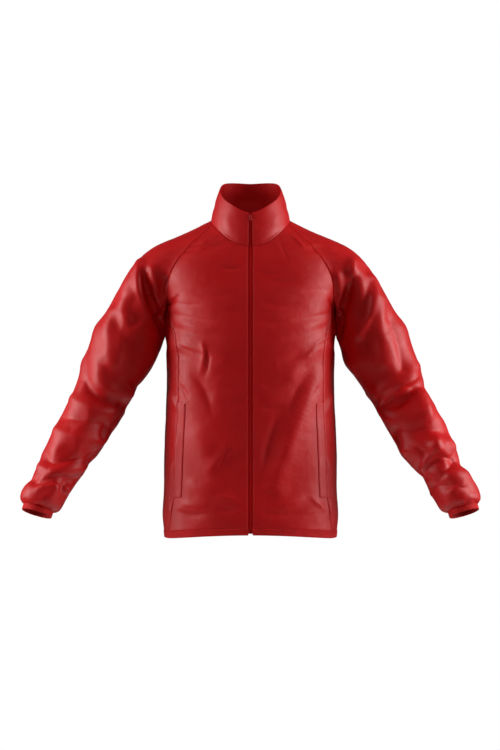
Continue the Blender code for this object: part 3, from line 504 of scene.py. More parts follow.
def sleeve_section(s, places):
    """One ring of the sleeve: the arc over the arm from the front seam line to the back, and the arc under it."""
    out, forward, _ = sleeve_directions(s)
    centre = np.array([s["x"], s["y"], s["z"]])

    def ring(start, end, shares):
        phi = np.radians(np.linspace(start, end, 400))
        c, d = np.cos(phi), np.sin(phi)
        c = np.sign(c) * np.abs(c) ** (2 / SLEEVE_POWER)
        d = np.sign(d) * np.abs(d) ** (2 / SLEEVE_POWER)
        points = centre + s["half_width"] * c[:, None] * out + s["half_depth"] * d[:, None] * forward
        return evenly(points, shares)

    over = ring(UNDERARM_ANGLE, -UNDERARM_ANGLE, places["over"])
    under = ring(UNDERARM_ANGLE, 360 - UNDERARM_ANGLE, places["under"])
    return over, under


def through_sections(sections, rows, seams):
    """A grid through the sections, the row at which each section stands, with extra rows beside the named ones."""
    control = np.array(sections)
    knots = np.mean([lengths_along(control[:, j]) for j in range(control.shape[1])], axis=0)
    at = [knots]
    for i, count in enumerate(rows):
        at.append(np.linspace(knots[i], knots[i + 1], int(count) + 1)[1:-1])
    for i in seams:
        at.append([knots[i] + side * off for off in ROWS_BESIDE_SEAM for side in (-1, 1)])
    at = np.sort(np.concatenate(at))
    at = at[(at >= knots[0]) & (at <= knots[-1])]
    return smooth_curve(knots, control, at), np.searchsorted(at, knots)


def match_edge(grid, column, edge, reach):
    """Moves a grid's edge column onto its neighbour's edge, and the next columns part of the way."""
    change = edge - grid[:, column]
    inward = 1 if column == 0 else -1
    for j in range(reach):
        grid[:, column + inward * j] += change * (1 - j / reach)
    grid[:, column] = edge


def half_garment(detail):
    """The grids of the wearer's left half, and the rows at which the armpit and the hem seam stand."""
    yoke, body, sleeve = records(YOKE_COLUMNS, YOKE), records(BODY_COLUMNS, BODY), records(SLEEVE_COLUMNS, SLEEVE)
    places = panel_places(detail)

    def rows(sections):
        return [s["rows"] * detail for s in sections]

    yoke_parts = [yoke_section(s, places) for s in yoke]
    body_parts = [body_section(s, places) for s in body]
    sleeve_parts = [sleeve_section(s, places) for s in sleeve]
    pit_section, hem_section = len(YOKE) - 1, len(YOKE) + len(BODY) - 2
    body_seams = (0, pit_section, hem_section, hem_section + 1)
    front, at = through_sections([p[0] for p in yoke_parts + body_parts], rows(yoke[1:] + body), body_seams)
    back, _ = through_sections([p[2] for p in yoke_parts + body_parts], rows(yoke[1:] + body), body_seams)
    sleeve_seams = (0, pit_section, len(YOKE) + len(SLEEVE) - 1)
    over_sections = [p[1] for p in yoke_parts] + [p[0] for p in sleeve_parts]
    over, _ = through_sections(over_sections, rows(yoke[1:] + sleeve), sleeve_seams)
    armpit, hem = at[pit_section], at[hem_section]
    reach = 2 * detail
    match_edge(over[: armpit + 1], 0, front[: armpit + 1, -1], 3 * detail)
    match_edge(over[: armpit + 1], -1, back[: armpit + 1, 0], 3 * detail)
    guide = np.array([front[armpit, -1], UNDERARM_POINT, back[armpit, 0]], float)
    along = lengths_along(guide)
    pit = evenly(smooth_curve(along, guide, np.linspace(0, along[-1], 200)), places["under"])
    pit[0], pit[-1] = front[armpit, -1], back[armpit, 0]
    back[:, -1, 0] = 0
    side_seams = (0, len(BODY) - 1, len(BODY))
    side, _ = through_sections([pit] + [p[1] for p in body_parts], rows(body), side_seams)
    match_edge(side, 0, front[armpit:, -1], reach)
    match_edge(side, -1, back[armpit:, 0], reach)
    side[0] = pit
    under_sections = [pit] + [p[1] for p in sleeve_parts]
    under, _ = through_sections(under_sections, rows(sleeve), (0, len(SLEEVE)))
    match_edge(under, 0, over[armpit:, 0], reach)
    match_edge(under, -1, over[armpit:, -1], reach)
    under[0] = pit
    return {"front": front, "back": back, "side": side, "over": over, "under": under}, armpit, hem


def collar_grid(neck, detail):
    """The collar, from the neck seam up to its top edge, with a column for each point of the neck seam."""
    angle = np.arctan2(neck[:, 0], COLLAR_CENTRE_Y - neck[:, 1])
    top_angles, top_heights = np.array(COLLAR_TOP, float).T
    height = smooth_curve(np.radians(top_angles), top_heights, angle)
    across, along = np.sin(angle), np.cos(angle)
    depth = np.where(along > 0, COLLAR_TOP_FRONT, COLLAR_TOP_BACK)
    x = COLLAR_TOP_HALF_WIDTH * np.abs(across) ** (2 / COLLAR_POWER)
    y = COLLAR_CENTRE_Y - np.sign(along) * depth * np.abs(along) ** (2 / COLLAR_POWER)
    edge = np.stack([x, y, height], axis=1)
    out = np.stack([across, -along, np.zeros_like(along)], axis=1)
    places = np.sort(np.concatenate([np.linspace(0, 1, COLLAR_ROWS * detail + 1), [0.012, 0.028, 0.972, 0.988]]))
    rows = [neck * (1 - t) + edge * t + out * COLLAR_BULGE * math.sin(math.pi * t) for t in places]
    grid = np.array(rows)
    grid[0] = neck
    grid[:, 0, 0] = ZIP_HALF_GAP
    grid[:, -1, 0] = 0
    return grid


def cuff_grid(over_end, under_end):
    """The cuff binding: a ring from the end of the sleeve, along the sleeve's last direction."""
    last = dict(zip(SLEEVE_COLUMNS, SLEEVE[-1]))
    _, _, along = sleeve_directions(last)
    ring = np.concatenate([over_end, under_end[::-1][1:]])
    return np.array([ring + along * CUFF_LENGTH * t for t in np.linspace(0, 1, 7)])


def weld(half):
    """Both halves as one set of points, and each grid as rows of point numbers. Seams share their points."""
    stacked, places, start = [], {}, 0
    for name, grid in half.items():
        for side, sign in zip(SIDES, (1, -1)):
            stacked.append((grid * (sign, 1, 1)).reshape(-1, 3))
            places[f"{name}_{side}"] = (start, grid.shape[:2])
            start += grid.shape[0] * grid.shape[1]
    stacked = np.round(np.concatenate(stacked), 3) + 0.0
    points, numbers = np.unique(stacked, axis=0, return_inverse=True)
    numbers = numbers.reshape(-1)
    ids = {}
    for name, (first, shape) in places.items():
        ids[name] = numbers[first : first + shape[0] * shape[1]].reshape(shape)
    return points, ids


def cells(grid, name):
    """A grid's values at the corners of its faces, all facing out of the garment."""
    corners = [grid[:-1, :-1], grid[1:, :-1], grid[1:, 1:], grid[:-1, 1:]]
    faces = np.stack([c.reshape((-1,) + c.shape[2:]) for c in corners], axis=1)
    inward = name.startswith(("under", "collar")) != name.endswith("right")
    return faces[:, ::-1] if inward else faces


def normals_of(points, faces):
    """A normal for each point, from the faces round it."""
    across = points[faces[:, 2]] - points[faces[:, 0]]
    down = points[faces[:, 3]] - points[faces[:, 1]]
    face_normals = np.cross(across, down)
    total = np.zeros_like(points)
    for k in range(4):
        np.add.at(total, faces[:, k], face_normals)
    return total / np.maximum(np.linalg.norm(total, axis=1, keepdims=True), 1e-9)


def unevenness(points, size, seed):
    """A smooth, seeded random field from -1 to 1, whose bumps are about so many millimetres across."""
    values = np.random.default_rng(seed).uniform(-1, 1, 4096)
    place = points / size
    corner = np.floor(place).astype(np.int64)
    share = place - corner
    share = share * share * (3 - 2 * share)
    total = np.zeros(len(points))
    for step in np.ndindex(2, 2, 2):
        key = np.bitwise_xor.reduce((corner + step) * HASH_PRIMES, axis=1)
        total += np.abs(1 - np.array(step) - share).prod(axis=1) * values[key % len(values)]
    return total


def strokes(text):
    """The creases in a table of them."""
    return records(FOLD_COLUMNS, map(str.split, text.strip().splitlines()))


def fold(points, normals, folds, weight, taper=0.0):
    """Moves the points out or in along their normals, for each of the creases. A crease with taper fades out towards
    its ends. Only cloth that faces the crease's view has it."""
    moved = points.copy()
    t = np.linspace(0, 1, 25)
    for f in folds:
        view = math.radians(f["view"])
        toward = np.array([math.sin(view), -math.cos(view), 0])
        across = np.array([abs(math.cos(view)), abs(math.sin(view)), 0])
        a, b, c = np.array([(f["x0"], f["z0"]), (f["x1"], f["z1"]), (f["x2"], f["z2"])], float)
        line = np.outer((1 - t) * (1 - 2 * t), a) + np.outer(4 * t * (1 - t), b) + np.outer(t * (2 * t - 1), c)
        u, v = points @ across, points[:, 2]
        facing = np.clip((normals @ toward + 0.05) / 0.45, 0, 1)
        room = 3 * f["width"]
        near = (weight > 0) & (facing > 0)
        near &= (u > line[:, 0].min() - room) & (u < line[:, 0].max() + room)
        near &= (v > line[:, 1].min() - room) & (v < line[:, 1].max() + room)
        near = np.flatnonzero(near)
        gap = np.hypot(u[near, None] - line[:, 0], v[near, None] - line[:, 1])
        nearest = gap.argmin(axis=1)
        distance = gap[np.arange(len(near)), nearest] / f["width"]
        facing = facing[near]
        size = f["height"] * np.exp(-(distance ** f["power"])) * facing * facing * (3 - 2 * facing)
        size *= np.sin(math.pi * np.clip(t[nearest], 0.01, 0.99)) ** taper
        moved[near] += (size * weight[near])[:, None] * normals[near]
    return moved


def hidden_folds():
    """The small creases of the back: like the front's, with left and right changed over, and moved a little."""
    folds = strokes(SMALL_FOLDS)
    for f in folds:
        shift = 9 * math.sin(f["x0"] + 2 * f["z1"])
        for k in "012":
            f["x" + k], f["z" + k] = -f["x" + k], f["z" + k] + shift - 6
        f.update(view=180, width=f["width"] * 1.15, height=f["height"] * 0.8)
    return folds


def ramp(distance, reach):
    """From 0 to 1 over the reach, smoothly."""
    share = np.clip(distance / reach, 0, 1)
    return share * share * (3 - 2 * share)


def distances(at):
    """How far each point of a grid lies down its column, and along its row."""
    down = np.linalg.norm(np.diff(at, axis=0), axis=2).cumsum(axis=0)
    over = np.linalg.norm(np.diff(at, axis=1), axis=2).cumsum(axis=1)
    return np.pad(down, ((1, 0), (0, 0))), np.pad(over, ((0, 0), (1, 0)))


@functools.lru_cache
def garment(detail, pucker):
    """The whole surface with its creases: points, normals, grids of point numbers, and the armpit and hem rows."""
    half, armpit, hem = half_garment(detail)
    neck = np.concatenate([half["front"][0], half["over"][0][1:], half["back"][0][1:]])
    half["collar"] = collar_grid(neck, detail)
    half["cuff"] = cuff_grid(half["over"][-1], half["under"][-1])
    points, ids = weld(half)
    faces = np.concatenate([cells(ids[name], name) for name in ids])
    normals = normals_of(points, faces)
    free, stand, seam = np.ones(len(points)), np.ones(len(points)), np.full(len(points), FAR)
    gathered, arms, torso = np.zeros((3, len(points)))
    for name, grid in ids.items():
        kind = name.split("_")[0]
        down, over = distances(points[grid])
        up, back = down[-1] - down, over[:, -1:] - over
        hold, near = [np.ones(grid.shape)], [np.full(grid.shape, FAR)]
        if kind in ("front", "back", "over"):
            hold.append(ramp(down, FADE_TOP))
            near.append(down)
        if kind in ("front", "back", "side"):
            torso[grid] = 1
            above = down[hem - armpit if kind == "side" else hem] - down
            hold.append(ramp(above, FADE_HEM))
            near.append(np.maximum(above, 0))
        if kind == "front":
            hold.append(ramp(over, FADE_ZIP))
            near.append(over)
        if kind in ("over", "under"):
            arms[grid] = 1
            hold.append(ramp(up, FADE_CUFF))
            gathered[grid] = np.exp(-(((up - GATHER_FROM_CUFF) / GATHER_REACH) ** 2))
            column = sleeve_seam_column(name, detail)
            near += [up, np.abs(over - over[:, column : column + 1])]
        if kind in ("front", "side"):
            near.append(back)
        if kind in ("back", "side"):
            near.append(over)
        if kind == "over":
            at_yoke = np.arange(len(grid))[:, None] <= armpit
            near.append(np.where(at_yoke, np.minimum(over, back), FAR))
        if kind in ("side", "under"):
            near.append(down)
        if kind in ("collar", "cuff"):
            hold.append(np.zeros(grid.shape))
        # The collar's creases keep clear of its edges.
        loose = ramp(down, 7) * ramp(up, 12) * ramp(over, 12) if kind == "collar" else np.zeros(grid.shape)
        np.minimum.at(free, grid, np.min(hold, axis=0))
        np.minimum.at(stand, grid, loose)
        np.minimum.at(seam, grid, np.min(near, axis=0))
    points = fold(points, normals, strokes(BODY_FOLDS), torso * free)
    points = fold(points, normals, strokes(SLEEVE_FOLDS), arms * free)
    normals = normals_of(points, faces)
    for folds, weight in (
        (strokes(SMALL_FOLDS), np.maximum(arms, torso) * free),
        (hidden_folds(), np.maximum(arms, torso) * free),
        (strokes(COLLAR_FOLDS), stand),
    ):
        points = fold(points, normals, folds, weight, taper=0.8)
    normals = normals_of(points, faces)
    soft = sum(height * unevenness(points, across, seed) for height, across, seed in SLACK_KINDS)
    ripple = unevenness(points, 7.5, 5) * np.exp(-((seam / 9) ** 1.5))
    ridge = RIDGE_HEIGHT * np.exp(-(((seam - RIDGE_FROM_SEAM) / RIDGE_REACH) ** 2))
    slack = soft * (0.25 + 0.75 * free) * np.clip(free * 4, 0, 1)
    gathers = GATHER_HEIGHT * gathered * unevenness(points, 6.5, 9)
    points = points + normals * (slack + pucker * ripple + ridge + gathers)[:, None]
    return points, normals_of(points, faces), ids, armpit, hem


def directed_edges(faces):
    """Each edge of the faces, the way round that a face takes it."""
    edges = set()
    for face in faces.tolist():
        edges.update(zip(face, face[1:] + face[:1]))
    return edges


def border_of(faces):
    """The edges on the border of the faces, with the face on their left."""
    edges = directed_edges(faces)
    return np.array([edge for edge in edges if edge[::-1] not in edges])


def beside(faces, inside):
    """The points that share a face with the given ones, without those."""
    touching = np.isin(faces, inside).any(axis=1)
    return np.setdiff1d(np.unique(faces[touching]), inside)


def flat_maps(points, ids, armpit):
    """Each grid's points as they lie on the flat cloth, in metres: across the piece and along it."""
    maps = {}
    for name, grid in ids.items():
        down, over = distances(points[grid])
        if name.startswith("over"):
            over -= over[:, -1:] / 2
        maps[name] = np.stack(np.broadcast_arrays(over, down.mean(axis=1)[:, None]), axis=2) * MM
    for side in SIDES:
        under, over = maps[f"under_{side}"], maps[f"over_{side}"]
        under[..., 0] = over[armpit:, :1, 0] - under[..., 0]
        under[..., 1] += over[armpit, 0, 1]
    return maps


def linked(name, data):
    """A new object in the scene."""
    obj = bpy.data.objects.new(name, data)
    bpy.context.scene.collection.objects.link(obj)
    return obj


def mesh_object(name, points, faces, uvs):
    """A smooth-shaded mesh object from points in millimetres, with its flat map in metres."""
    mesh = bpy.data.meshes.new(name)
    mesh.from_pydata((points * MM).tolist(), [], faces.tolist())
    layer = mesh.uv_layers.new(name="cloth")
    layer.data.foreach_set("uv", np.ascontiguousarray(uvs, dtype=np.float32).reshape(-1))
    mesh.shade_smooth()
    mesh.validate()
    return linked(name, mesh)


def shell(name, points, normals, faces, uvs, thickness, depths, lift=0.0, rounds=3):
    """A thin cloth shell on part of the surface. Its border sinks by the first depth, and the rings inside it by the
    others, so that it rolls into the seam. Its cut edge is rounded over."""
    border = border_of(faces)
    edge_points = np.unique(border)
    placed = points.copy()
    inward = {}
    for a, b in border.tolist():
        tangent = points[b] - points[a]
        for end in (a, b):
            away = np.cross(normals[end], tangent)
            inward.setdefault(end, []).append(away / np.linalg.norm(away))
    turned = np.zeros_like(points)
    for end, ways in inward.items():
        way = (ways[0] + ways[-1]) / max(1 + float(ways[0] @ ways[-1]), 0.5)
        placed[end] += way * SEAM_GAP / 2
        turned[end] = -way / np.linalg.norm(way)
    sunk = np.zeros(len(points))
    inside = edge_points
    for depth in depths:
        sunk[inside] = depth(points[inside]) if callable(depth) else depth
        inside = beside(faces, edge_points)
        edge_points = np.union1d(edge_points, inside)
    used = np.unique(faces)
    number = np.full(len(points), -1)
    number[used] = np.arange(len(used))
    middle = placed[used] + normals[used] * (lift - sunk[used])[:, None]
    half = normals[used] * thickness / 2
    layers = [middle + half, middle - half]
    count = len(used)
    quads = [number[faces], number[faces][:, ::-1] + count]
    maps = [uvs, uvs[:, ::-1]]
    rim = np.unique(border)
    rim_number = np.full(len(points), -1)
    rim_number[rim] = np.arange(len(rim))
    rim_uv = np.zeros((len(points), 2))
    rim_uv[faces.reshape(-1)] = uvs.reshape(-1, 2)
    a, b = border.T
    rings = [number[[a, b]]]
    for k in range(1, rounds):
        turn = math.pi * k / rounds
        across = normals[rim] * math.cos(turn) + turned[rim] * math.sin(turn)
        layers.append(placed[rim] + normals[rim] * (lift - sunk[rim])[:, None] + across * thickness / 2)
        rings.append(rim_number[[a, b]] + 2 * count + (k - 1) * len(rim))
    rings.append(number[[a, b]] + count)
    edge_map = np.stack([rim_uv[b], rim_uv[a], rim_uv[a], rim_uv[b]], axis=1)
    for outer, inner in zip(rings, rings[1:]):
        quads.append(np.stack([outer[1], outer[0], inner[0], inner[1]], axis=1))
        maps.append(edge_map)
    return mesh_object(name, np.concatenate(layers), np.concatenate(quads), np.concatenate(maps))


def linear(colour):
    """An sRGB hex colour as linear red, green and blue."""
    parts = [int(colour[i : i + 2], 16) / 255 for i in (1, 3, 5)]
    return tuple(c / 12.92 if c <= 0.04045 else ((c + 0.055) / 1.055) ** 2.4 for c in parts)


def length(name, description, metres):
    """A setting for a length."""
    return bpy.props.FloatProperty(name=name, description=description, default=metres, unit="LENGTH")


def tint(name, description, colour):
    """A setting for a colour."""
    return bpy.props.FloatVectorProperty(name=name, description=description, subtype="COLOR", default=linear(colour))


class JacketSizes(bpy.types.PropertyGroup):
    detail: bpy.props.IntProperty(
        name="Detail", description="How finely the cloth is divided", default=5, min=2, max=8
    )
    shell_thickness: length("Shell cloth", "Thickness of the shell cloth, drawn a little thick", 0.0008)
    collar_thickness: length("Collar", "Thickness of the doubled collar", 0.0020)
    binding_thickness: length("Binding", "Thickness of the folded elastic binding", 0.0026)
    seam_depth: length("Seam depth", "How far each panel rolls down into its seams", 0.0013)
    pucker: length("Seam pucker", "Height of the small puckers along the seams", 0.00035)
    stitch_pitch: length("Stitch pitch", "From one stitch to the next", 0.0032)
    stitch_length: length("Stitch length", "Length of one stitch", 0.0025)
    thread_width: length("Thread", "Width of the sewing thread", 0.00055)
    coil_pitch: length("Coil pitch", "From one turn of the zip's coil to the next", 0.0014)


class JacketColours(bpy.types.PropertyGroup):
    shell: tint("Shell cloth", "Colour of the woven shell", "#C0060A")
    binding: tint("Binding", "Colour of the elastic binding", "#C4080C")
    tape: tint("Zip tape", "Colour of the zip's tapes", "#C8080B")
    coil: tint("Zip coil", "Colour of the nylon coil", "#D00A0D")
    metal: tint("Slider", "Colour of the painted slider and tab", "#BC080B")
    thread: tint("Thread", "Colour of the sewing thread", "#C0181C")


class JacketStage(bpy.types.PropertyGroup):
    side_light: bpy.props.FloatProperty(
        name="Side light", description="Power that the side strips are set from", default=50, unit="POWER"
    )
    front_light: bpy.props.FloatProperty(
        name="Front light", description="Power that the front and top softboxes are set from", default=8, unit="POWER"
    )
    room_light: bpy.props.FloatProperty(
        name="Room light", description="Strength of the white room on the object", default=0.07, min=0, max=2
    )
    floor: tint("Floor", "Colour of the pale floor", "#E9E7E4")


def settings():
    """The sizes, colours and stage settings of the scene."""
    scene = bpy.context.scene
    return scene.jacket_sizes, scene.jacket_colours, scene.jacket_stage


def feed(tree, node, inputs):
    """Sets each of the inputs to its value, or links it to its socket."""
    for name, value in dict(inputs).items():
        if isinstance(value, bpy.types.NodeSocket):
            tree.links.new(value, node.inputs[name])
        else:
            node.inputs[name].default_value = value


def add(tree, kind, inputs=(), output=0, **values):
    """Adds a node with its own settings and its inputs, and returns one of its outputs, where it has any."""
    node = tree.nodes.new(kind)
    for name, value in values.items():
        setattr(node, name, value)
    feed(tree, node, inputs)
    return node.outputs[output] if node.outputs else None


def maths(tree, operation, *values):
    """The result of an operation on numbers."""
    return add(tree, "ShaderNodeMath", dict(enumerate(values)), operation=operation)


def wave(tree, value, crest_gap):
    """A sine wave from -1 to 1, with its crests so far apart."""
    return maths(tree, "SINE", maths(tree, "MULTIPLY", value, 2 * math.pi / crest_gap))


def noise(tree, place, scale, detail, roughness=0.5, distortion=0.0, kind="FBM"):
    """Noise from 0 to 1, with about so many bumps to the metre."""
    inputs = {"Vector": place, "Scale": scale, "Detail": detail, "Roughness": roughness, "Distortion": distortion}
    return add(tree, "ShaderNodeTexNoise", inputs, "Fac", noise_type=kind)


def rescaled(tree, value, start, end, low, high):
    """A value taken from one range to another."""
    names = ("Value", "From Min", "From Max", "To Min", "To Max")
    return add(tree, "ShaderNodeMapRange", dict(zip(names, (value, start, end, low, high))))


def shaded(tree, factor, colour, share, start=0.0, end=1.0):
    """The colour where the factor is high, down to a share of it where the factor is low."""
    node = tree.nodes.new("ShaderNodeValToRGB")
    feed(tree, node, {"Fac": factor})
    for element, position, part in zip(node.color_ramp.elements, (start, end), (share, 1)):
        element.position, element.color = position, (*[c * part for c in colour], 1)
    return node.outputs["Color"]


def bumped(tree, height, strength, distance, below=None):
    """The normal of a bump, on top of another one where that is given."""
    inputs = {"Height": height, "Strength": strength, "Distance": distance}
    return add(tree, "ShaderNodeBump", inputs if below is None else {**inputs, "Normal": below})


def new_material(name):
    """A new material, its tree, and the place on the object."""
    material = bpy.data.materials.new(name)
    material.use_nodes = True
    return material, material.node_tree, add(material.node_tree, "ShaderNodeTexCoord", output="Object")


def across_and_along(tree):
    """The two directions on the flat cloth, in metres."""
    apart = tree.nodes.new("ShaderNodeSeparateXYZ")
    feed(tree, apart, {"Vector": add(tree, "ShaderNodeUVMap", uv_map="cloth")})
    return apart.outputs["X"], apart.outputs["Y"]


def dress(material, inputs):
    """Sets or links the inputs of the material's shader."""
    feed(material.node_tree, material.node_tree.nodes["Principled BSDF"], inputs)
    return material


def shell_cloth(name, colour, crinkle=1.0):
    """Woven polyester taffeta with a water-repellent finish: a tight plain weave, calendered to a soft shine, with a
    faint crinkle from wear."""
    if name in bpy.data.materials:
        return bpy.data.materials[name]
    material, tree, place = new_material(name)
    # Threads 0.25 mm apart are too fine to show, so they are drawn 1.1 mm apart.
    weave = maths(tree, "MULTIPLY", *[wave(tree, way, 2 * 0.0011) for way in across_and_along(tree)])
    crumple = noise(tree, place, 38.0, 4.0, 0.55, 0.6)
    slubs = noise(tree, place, 7.0, 5.0, 0.6)
    # Faint crease lines, longer across the body than up it.
    stretched = add(tree, "ShaderNodeVectorMath", {0: place, 1: (1.0, 1.0, 2.4)}, operation="MULTIPLY")
    lines = noise(tree, stretched, 7.0, 2.0, 0.4, 0.8, "RIDGED_MULTIFRACTAL")
    creased = bumped(tree, lines, 0.4 * crinkle, 0.0016)
    soft = bumped(tree, crumple, 0.35 * crinkle, 0.0022, creased)
    looks = {
        "Base Color": shaded(tree, slubs, colour, 0.86, 0.35, 0.65),
        "Roughness": rescaled(tree, crumple, 0.3, 0.7, 0.42, 0.52),
        "Normal": bumped(tree, weave, 0.3, 0.00012, soft),
        "Specular IOR Level": 0.36,
    }
    return dress(material, looks)


def ribbed_elastic(colour):
    """Folded elastic binding, knitted polyester round rubber threads: matt, with fine ribs along it that stretch the
    light into soft lines."""
    material, tree, place = new_material("Knitted elastic binding")
    # Ribs 1.6 mm apart run along the binding, with stitches 1 mm long in them.
    across, along = across_and_along(tree)
    height = maths(tree, "MULTIPLY_ADD", wave(tree, across, 0.001), 0.35, wave(tree, along, 0.0016))
    looks = {
        "Base Color": shaded(tree, noise(tree, place, 60.0, 3.0), colour, 0.8, 0.3, 0.7),
        "Roughness": 0.68,
        "Normal": bumped(tree, height, 0.5, 0.00025),
        "Specular IOR Level": 0.25,
    }
    return dress(material, looks)


def spun_thread(colour):
    """Spun polyester sewing thread: two plies twisted together, soft and a little lighter than the cloth."""
    material, tree, place = new_material("Spun polyester thread")
    inputs = {"Vector": place, "Scale": 520.0, "Distortion": 1.5}
    plies = add(tree, "ShaderNodeTexWave", inputs, "Fac", wave_type="BANDS", bands_direction="DIAGONAL")
    looks = {
        # The grooves between the plies are painted darker than their crowns: painted shade on one even colour of
        # thread.
        "Base Color": shaded(tree, plies, colour, 0.7),
        "Roughness": 0.6,
        "Normal": bumped(tree, plies, 0.4, 0.0001),
        "Specular IOR Level": 0.2,
    }
    return dress(material, looks)


def woven_tape(colour):
    """Woven polyester zip tape: a close herringbone, matt beside the shell."""
    material = bpy.data.materials.new("Woven polyester zip tape")
    material.use_nodes = True
    tree = material.node_tree
    # The herringbone turns every 2 mm, and its ridges are 0.9 mm apart.
    across, along = across_and_along(tree)
    height = wave(tree, maths(tree, "ADD", maths(tree, "PINGPONG", across, 0.002), along), 0.0009)
    looks = {
        # The herringbone's valleys are painted darker than its ridges: painted shade in the weave, on one even colour
        # of tape.
        "Base Color": shaded(tree, rescaled(tree, height, -1.0, 1.0, 0.0, 1.0), colour, 0.75),
        "Roughness": 0.75,
        "Normal": bumped(tree, height, 0.5, 0.00015),
        "Specular IOR Level": 0.08,
    }
    return dress(material, looks)


def moulded_nylon(colour):
    """Nylon monofilament, wound into a coil and set with heat: smooth, with small bright glints."""
    material, tree, place = new_material("Nylon monofilament")
    streaked = shaded(tree, noise(tree, place, 900.0, 2.0), colour, 0.8, 0.3, 0.7)
    return dress(material, {"Base Color": streaked, "Roughness": 0.42, "Specular IOR Level": 0.2})


def painted_zinc(colour):
    """Die-cast zinc alloy under baked enamel: a smooth gloss skin, faintly pitted, darker in patches."""
    material, tree, place = new_material("Enamelled zinc alloy")
    patches = noise(tree, place, 260.0, 4.0)
    looks = {
        "Base Color": shaded(tree, patches, colour, 0.8, 0.3, 0.7),
        "Metallic": 0.2,
        "Roughness": rescaled(tree, patches, 0.3, 0.7, 0.24, 0.38),
        "Normal": bumped(tree, noise(tree, place, 700.0, 3.0), 0.2, 0.0001),
        "Coat Weight": 0.15,
    }
    return dress(material, looks)


def finished(obj, material, slot, body="jacket", nodes=()):
    """Gives a piece its material, sets it on its body, and hides the CAD nodes it stands for. The slot is not used."""
    obj.data.materials.clear()
    obj.data.materials.append(material)
    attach(obj, body)
    if nodes:
        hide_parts(*nodes)
    return obj


def surface():
    """The garment's surface at the scene's own settings."""
    sizes, _, _ = settings()
    return garment(sizes.detail, sizes.pucker / MM)


def part_of(names, rows=None, columns=None):
    """The faces of some grids with their flat map, from all or some of their rows and columns."""
    points, _, ids, armpit, _ = surface()
    maps = flat_maps(points, ids, armpit)
    faces, uvs = [], []
    for name in names:
        block = (rows(name) if rows else slice(None), columns(name) if columns else slice(None))
        faces.append(cells(ids[name][block], name))
        uvs.append(cells(maps[name][block], name))
    return np.concatenate(faces), np.concatenate(uvs)


def cloth_piece(node, kind, part, material, slot, thickness, depths, **more):
    """A shell on its part of the surface, finished, in the place of its CAD node. Its name ends in its kind."""
    points, normals, _, _, _ = surface()
    obj = shell(f"{node}_{kind}", points, normals, *part, thickness, depths, **more)
    return finished(obj, material, slot, nodes=(node,))


def hem_row(name):
    """The row of a body panel at the hem's seam."""
    _, _, _, armpit, hem = surface()
    return hem - armpit if name.startswith("side") else hem


def above_hem(name):
    """The rows of a body panel above the hem's seam."""
    return slice(None, hem_row(name) + 1)


def below_hem(name):
    """The rows of a body panel that the hem binding covers."""
    return slice(hem_row(name), None)


def front_cut(name):
    """The columns of a sleeve grid in the front cut of the sleeve."""
    return slice(None, sleeve_seam_column(name, settings()[0].detail) + 1)


def back_cut(name):
    """The columns of a sleeve grid in the back cut of the sleeve."""
    return slice(sleeve_seam_column(name, settings()[0].detail), None)


class JACKET_OT_panels(bpy.types.Operator):
    """Builds the fronts, side panels, back and sleeves as thin shells of woven cloth"""

    bl_idname = "rain_jacket.panels"
    bl_label = "Shell panels"

    def execute(self, context):
        sizes, colours, _ = settings()
        cloth = shell_cloth("Woven polyester taffeta", colours.shell)
        deep = sizes.seam_depth / MM

        # How far the border sinks, and then the two rings of points inside it.
        def rolled(at):
            return np.where(np.abs(at[:, 0]) < BESIDE_ZIP, 0.25, deep)

        depths = (rolled, 0.3, 0.0)
        # The node, its grids, their rows and columns, and its flat size and area in metres.
        cut = [("back", ("back_left", "back_right"), above_hem, None, (0.415, 0.73), 0.253)]
        for side in SIDES:
            sleeve = (f"over_{side}", f"under_{side}")
            cut.append((f"front_{side}", (f"front_{side}",), above_hem, None, (0.205, 0.70), 0.117))
            cut.append((f"side_panel_{side}", (f"side_{side}",), above_hem, None, (0.15, 0.545), 0.074))
            cut.append((f"sleeve_front_{side}", sleeve, None, front_cut, (0.245, 0.815), 0.14))
            cut.append((f"sleeve_back_{side}", sleeve, None, back_cut, (0.235, 0.815), 0.135))
        for node, grids, rows, columns, flat, area in cut:
            part = part_of(grids, rows, columns)
            thickness = sizes.shell_thickness / MM
            obj = cloth_piece(node, "cloth", part, cloth, "shell_fabric", thickness, depths)
        return {"FINISHED"}


class JACKET_OT_collar(bpy.types.Operator):
    """Builds the stand collar, two layers of the shell cloth turned over at the top"""

    bl_idname = "rain_jacket.collar"
    bl_label = "Collar"

    def execute(self, context):
        sizes, colours, _ = settings()

        def rolled(at):
            from_middle = np.hypot(at[:, 0], at[:, 1] - COLLAR_CENTRE_Y)
            top = (at[:, 2] > COLLAR_TOP_LOWEST) & (from_middle < COLLAR_TOP_REACH)
            return np.where(top | (np.abs(at[:, 0]) < BESIDE_ZIP), 0.1, 1.0)

        cloth = shell_cloth("Doubled polyester taffeta", colours.shell, 0.7)
        part, thickness = part_of(("collar_left", "collar_right")), sizes.collar_thickness / MM
        obj = cloth_piece("collar", "cloth", part, cloth, "shell_fabric", thickness, (rolled, 0.2, 0.0), rounds=5)
        return {"FINISHED"}


def welt_place(side, detail):
    """The rows of the front panel that its welt runs from and to, and how many of its last columns the welt covers."""
    points, _, ids, _, _ = surface()
    heights = points[ids[f"front_{side}"][:, -1], 2]
    first, last = (int(np.abs(heights - z).argmin()) for z in (WELT_TOP_Z, WELT_BOTTOM_Z))
    return first, last, int((panel_places(detail)["front"] > 1 - WELT_SHARE).sum())


